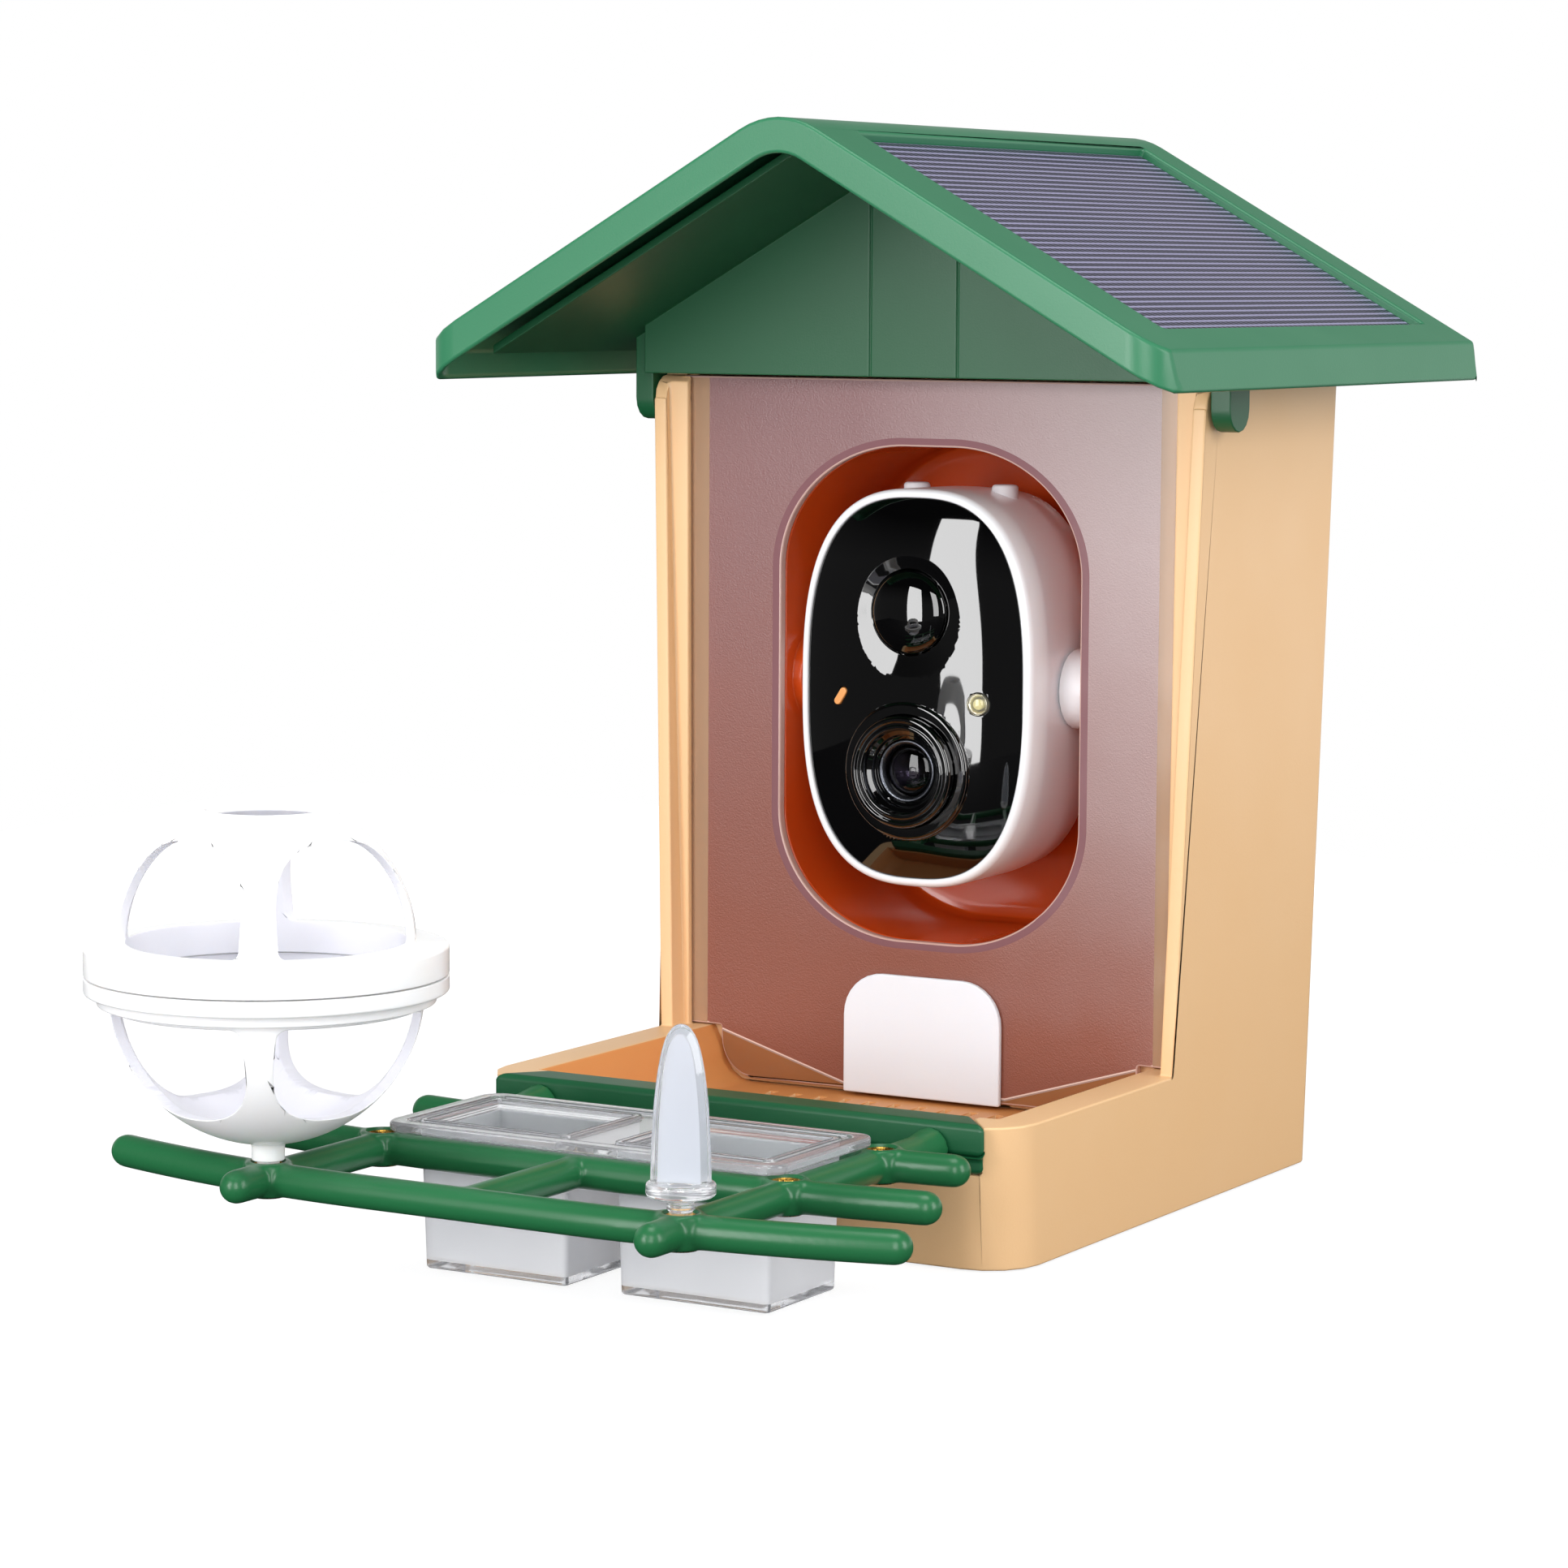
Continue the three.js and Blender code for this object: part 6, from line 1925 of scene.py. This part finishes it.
    def upper(self) -> Object:
        """Builds the upper half with its hole and its flange.

        Returns:
            The half.
        """
        seam = self.seam + self.seam_half
        inner = self.upper_radius - self.wall
        start = math.asin((self.flange_top - self.upper_centre) / self.upper_radius)
        end = math.acos(self.hole / self.upper_radius)
        inner_end = math.acos((self.hole - 0.5) / inner)
        half = revolve("ball_upper_shell", Axis.Z, [
            (inner, seam), (self.flange, seam),
            *arc((self.flange - 0.7, self.flange_top - 0.7), 0.7, 0, 90, 4),
            *self.shell_arc(self.upper_radius, self.upper_centre, start, end, 24),
            *self.shell_arc(inner, self.upper_centre, inner_end, 0.0, 24)],
            self.centre, self.steps, ring=True)
        work(half, Cut.TAKE, self.windows(self.upper_radius, *self.upper_window, True))
        return self.dress_half(half, self.upper_centre)

    def build(self) -> None:
        """Builds and dresses the two halves."""
        seat(self.lower(), "cage", "white_plastic", "ball_lower")
        seat(self.upper(), "cage_lid", "white_plastic", "ball_upper")


@dataclass
class Spike:
    """The clear fruit spike: threaded stud, collar and a blade with a bevelled border.

    Attributes:
        centre: X and Y of the spike.
        stud: radius and length of the stud.
        thread_radius: radius of the thread that shows.
        pitch: height of a turn of that thread.
        collar_radius: radius of the collar.
        collar: its foot and top.
        top: height of the blade's tip.
        half: half the blade's width.
        thickness: thickness of the blade.
        border: width of its bevelled border.
        edge_half: half its thickness at the edge.
        turn_deg: how far the blade is turned.
        side_shares: the blade's side, as shares of its half width and its height.
    """

    centre: Point2 = (NODE_X, NODE_Y)
    stud: Point2 = (2.4, 6.0)
    thread_radius: float = 3.0
    pitch: float = 0.8
    collar_radius: float = 7.1
    collar: Point2 = (34.6, 37.4)
    top: float = 69.2
    half: float = 6.3
    thickness: float = 3.6
    border: float = 1.5
    edge_half: float = 0.55
    turn_deg: float = 18.0
    side_shares: tuple[Point2, ...] = (
        (1.0, -0.03), (0.985, 0.1), (0.96, 0.25), (0.925, 0.38), (0.88, 0.5), (0.82, 0.61),
        (0.76, 0.7), (0.68, 0.785), (0.6, 0.85), (0.51, 0.905), (0.42, 0.94), (0.3, 0.972),
        (0.2, 0.989), (0.1, 0.997))

    def outline(self, inset: float) -> Outline:
        """Places points on the blade's outline.

        Args:
            inset: how far it is drawn in.

        Returns:
            The points.
        """
        height = self.top - self.collar[1]
        x = self.centre[0]
        half = self.half - inset
        right = [
            (across * half, self.collar[1] + up * (height - inset))
            for across, up in self.side_shares]
        left = [(-a, z) for a, z in reversed(right)]
        tip = [(0.0, self.collar[1] + height - inset)]
        return [(x + a, z) for a, z in right + tip + left]

    def build(self) -> None:
        """Builds and dresses the spike."""
        foot, thread = SEAT_LEVEL, self.thread_radius
        low, high = self.collar
        turns, lead, depth = 3, 0.2, 0.35
        rings = []
        for i in range(turns):
            z = foot + lead + self.pitch * i
            rings += [(thread - depth, z), (thread, z + self.pitch / 2)]
        stud, stud_foot = self.stud[0], foot - self.stud[1]
        profile = [
            (0, stud_foot), (stud, stud_foot), (stud, foot), *rings,
            (thread - 0.3, low - 0.8), (self.collar_radius - 2.2, low - 0.4),
            *arc((self.collar_radius - 1.0, low + 0.8), 1.0, 300, 360, 4),
            *arc((self.collar_radius - 0.8, high - 0.8), 0.8, 0, 90, 5), (0, high)]
        base = revolve("fruit_spike_clear", Axis.Z, profile, self.centre, 64)
        y = self.centre[1]
        half, edge = self.thickness / 2, self.edge_half
        bevel = (
            (half, self.border + 0.3), (half - 0.15, self.border), (edge, 0.2), (edge - 0.3, 0.0))
        sections = [(y + off, self.outline(inset)) for off, inset in bevel]
        sections += [(y - off, self.outline(inset)) for off, inset in reversed(bevel)]
        blade = loft("blade", Axis.Y, sections)
        work(base, Cut.JOIN, [blade])
        dress(base, CRYSTAL, MILKY)
        flat = 0.99
        for polygon in base.data.polygons:
            high_up = polygon.center.z > (high + 0.5) * MM
            faces_front = abs(polygon.normal.y) > flat
            polygon.material_index = 1 if high_up and faces_front else 0
        turn(base, self.turn_deg, self.centre)
        round_edges(base, 0.15, 2, 40)
        seat(base, "spike", "clear_plastic", "fruit_spike")


@dataclass
class Fasteners:
    """Screws and hinge pins.

    Attributes:
        edge_mm: rounding of their edges.
        nodes: their CAD nodes.
    """

    edge_mm: float = 0.2
    nodes: tuple[str, ...] = (
        "hinge_pin_left", "hinge_pin_right", "roof_screw_front", "roof_screw_rear",
        "bay_screw_lower", "bay_screw_upper", "bar_screw_left", "bar_screw_right",
        "bracket_screw_left", "bracket_screw_right")

    def build(self) -> None:
        """Dresses the CAD pieces."""
        for node in self.nodes:
            dress(soften_cad(node, self.edge_mm), ZINC)


@dataclass
class Studio:
    """Floor, background, lamps and the camera at the photograph's angle.

    Attributes:
        eye: where the camera stands, in metres.
        azimuth: how far it stands to the right, in degrees.
        elevation: how far it looks down.
        roll: how far it is tipped.
        lens: its focal length in millimetres.
        film: width of its sensor in millimetres.
        clip: the nearest and farthest that it sees, in metres.
        shift: its shift, as shares of the frame.
        floor_half: half the floor's width, in metres.
        floor_level: height of the floor.
        floor_colours: sRGB colours of the paper.
        floor_mirrored: sRGB colour that glossy surfaces see in it.
        floor_lift: how white it looks near the middle and far out.
        floor_reach: where these two are, in metres.
        world_light: strength of the even light from below and from above.
        light_heights: the directions' Z at which these two are reached.
        world_gloss: what glossy surfaces see before and behind the feeder.
        gloss_depths: the directions' Y at which these two are reached.
        world_dim: how much of that is left high up.
        dim_heights: the directions' Z between which it dims.
        aim: what the lamps look at.
    """

    eye: Point3 = (0.5301, -0.9702, 0.2180)
    azimuth: float = 30.4
    elevation: float = 6.3
    roll: float = 0.3
    lens: float = 106.87
    film: float = 36.0
    clip: Point2 = (0.02, 50.0)
    shift: Point2 = (0.00233, 0.0004)
    floor_half: float = 0.64
    floor_level: float = -0.0004
    floor_colours: tuple[str, str] = ("#7c7c7e", "#848486")
    floor_mirrored: str = "#1c1c1e"
    floor_lift: Point2 = (0.86, 1.0)
    floor_reach: Point2 = (0.28, 0.6)
    world_light: Point2 = (0.3, 0.72)
    light_heights: Point2 = (-0.4, 0.5)
    world_gloss: Point2 = (0.07, 0.95)
    gloss_depths: Point2 = (-0.1, 0.6)
    world_dim: float = 0.15
    dim_heights: Point2 = (0.12, 0.42)
    aim: Point3 = (0.0, -0.05, 0.12)

    def floor(self) -> None:
        """Builds the grey floor, which looks white to the camera but keeps the shadow."""
        half = self.floor_half
        mesh = bpy.data.meshes.new("floor")
        corners = [(-half, -half, 0), (half, -half, 0), (half, half, 0), (-half, half, 0)]
        mesh.from_pydata(corners, [], [(0, 1, 2, 3)])
        floor = bpy.data.objects.new("floor", mesh)
        floor.location.z = self.floor_level
        bpy.context.scene.collection.objects.link(floor)
        material, tree, place = blank_material("floor_paper")
        ray = add_node(tree, "ShaderNodeLightPath")
        fibre_mm = 4.0
        fibre = add_node(
            tree, "ShaderNodeTexNoise", {"Vector": place, "Scale": 1 / (fibre_mm * MM)})
        dark, light = (linear(code) for code in self.floor_colours)
        paper = add_node(tree, "ShaderNodeMix", {0: fibre, 6: dark, 7: light}, data_type="RGBA")
        colour = add_node(
            tree, "ShaderNodeMix",
            {0: ray.outputs["Is Glossy Ray"], 6: paper.outputs[2], 7: linear(self.floor_mirrored)},
            data_type="RGBA")
        seen = add_node(
            tree, "ShaderNodeMath", {0: ray, 1: ray.outputs["Is Transmission Ray"]},
            operation="MAXIMUM")
        away = add_node(tree, "ShaderNodeVectorMath", {0: place}, operation="LENGTH")
        lift = add_node(tree, "ShaderNodeMapRange", {
            "Value": away.outputs["Value"], "From Min": self.floor_reach[0],
            "From Max": self.floor_reach[1],
            "To Min": self.floor_lift[0], "To Max": self.floor_lift[1]})
        strength = add_node(tree, "ShaderNodeMath", {0: seen, 1: lift}, operation="MULTIPLY")
        close_material(tree, {
            "Base Color": colour.outputs[2], "Roughness": 0.9, "Specular IOR Level": 0.1,
            "Emission Color": (1, 1, 1, 1), "Emission Strength": strength})
        mesh.materials.append(material)

    def world(self) -> None:
        """Builds the white background and the even light that comes from it."""
        world = bpy.data.worlds.new("studio_world")
        bpy.context.scene.world = world
        world.use_nodes = True
        tree = world.node_tree
        tree.nodes.clear()
        ray = add_node(tree, "ShaderNodeLightPath")
        seen = add_node(
            tree, "ShaderNodeMath", {0: ray, 1: ray.outputs["Is Transmission Ray"]},
            operation="MAXIMUM")
        way = add_node(tree, "ShaderNodeTexCoord")
        split = add_node(tree, "ShaderNodeSeparateXYZ", {0: way})
        soft = add_node(tree, "ShaderNodeMapRange", {
            "Value": split.outputs[2], "From Min": self.light_heights[0],
            "From Max": self.light_heights[1], "To Min": self.world_light[0],
            "To Max": self.world_light[1]})
        mirrored = add_node(tree, "ShaderNodeMapRange", {
            "Value": split.outputs[1], "From Min": self.gloss_depths[0],
            "From Max": self.gloss_depths[1], "To Min": self.world_gloss[0],
            "To Max": self.world_gloss[1]})
        above = add_node(tree, "ShaderNodeMapRange", {
            "Value": split.outputs[2], "From Min": self.dim_heights[0],
            "From Max": self.dim_heights[1], "To Min": 1.0, "To Max": self.world_dim})
        mirrored = add_node(tree, "ShaderNodeMath", {0: mirrored, 1: above}, operation="MULTIPLY")
        level = add_node(
            tree, "ShaderNodeMix", {0: ray.outputs["Is Glossy Ray"], 2: soft, 3: mirrored},
            data_type="FLOAT")
        strength = add_node(tree, "ShaderNodeMath", {0: seen, 1: level}, operation="MAXIMUM")
        background = add_node(
            tree, "ShaderNodeBackground", {"Color": (1, 1, 1, 1), "Strength": strength})
        add_node(tree, "ShaderNodeOutputWorld", {"Surface": background})

    def lamp(
        self, name: str, place: Point3, size: Point2, power: float, mirrored: bool = True
    ) -> None:
        """Adds a softbox.

        Args:
            name: the lamp's name.
            place: where it hangs, in metres.
            size: its width and height, in metres.
            power: its power in watts.
            mirrored: whether glossy surfaces show it.
        """
        data = bpy.data.lights.new(name, "AREA")
        data.shape = "RECTANGLE"
        data.size, data.size_y = size
        data.energy = power
        obj = bpy.data.objects.new(name, data)
        obj.visible_glossy = mirrored
        bpy.context.scene.collection.objects.link(obj)
        way = Vector(self.aim) - Vector(place)
        turned = way.to_track_quat("-Z", "Y").to_matrix().to_4x4()
        obj.matrix_world = Matrix.Translation(place) @ turned

    def camera(self) -> None:
        """Adds the camera that the photograph was taken with."""
        a, e, r = (math.radians(v) for v in (self.azimuth, self.elevation, self.roll))
        back = Vector((math.sin(a) * math.cos(e), -math.cos(a) * math.cos(e), math.sin(e)))
        right = Vector((math.cos(a), math.sin(a), 0))
        up = back.cross(right)
        across = right * math.cos(r) + up * math.sin(r)
        above = up * math.cos(r) - right * math.sin(r)
        data = bpy.data.cameras.new("photo_camera")
        data.sensor_width = self.film
        data.lens = self.lens
        data.shift_x, data.shift_y = self.shift
        data.clip_start, data.clip_end = self.clip
        camera = bpy.data.objects.new("photo_camera", data)
        bpy.context.scene.collection.objects.link(camera)
        turned = Matrix((across, above, back)).transposed().to_4x4()
        camera.matrix_world = Matrix.Translation(self.eye) @ turned
        bpy.context.scene.camera = camera

    def build(self) -> None:
        """Builds the studio."""
        bpy.context.scene.view_settings.view_transform = "Standard"
        self.camera()
        self.floor()
        self.world()
        self.lamp("key_softbox", (0.8, -1.45, 0.5), (0.6, 1.2), 11.0)
        self.lamp("front_strip", (-0.33, -1.35, 0.18), (0.46, 1.3), 14.0)
        self.lamp("low_fill", (-1.2, -0.9, 0.15), (1.0, 0.9), 4.0, mirrored=False)
        self.lamp("side_softbox", (1.5, -0.1, 0.55), (0.6, 1.0), 10.0)
        self.lamp("top_softbox", (0.1, -0.2, 1.8), (0.9, 0.9), 9.0)


def main() -> None:
    """Builds every piece in order."""
    logging.basicConfig(level=logging.INFO, format="%(message)s")
    parts = (
        Studio(), House(), Roof(), Camera(), Perch(), Cups(), BallCage(), Spike(), Fasteners())
    for part in parts:
        part.build()
        LOG.info("built %s", type(part).__name__)


if __name__ == "__main__":
    main()
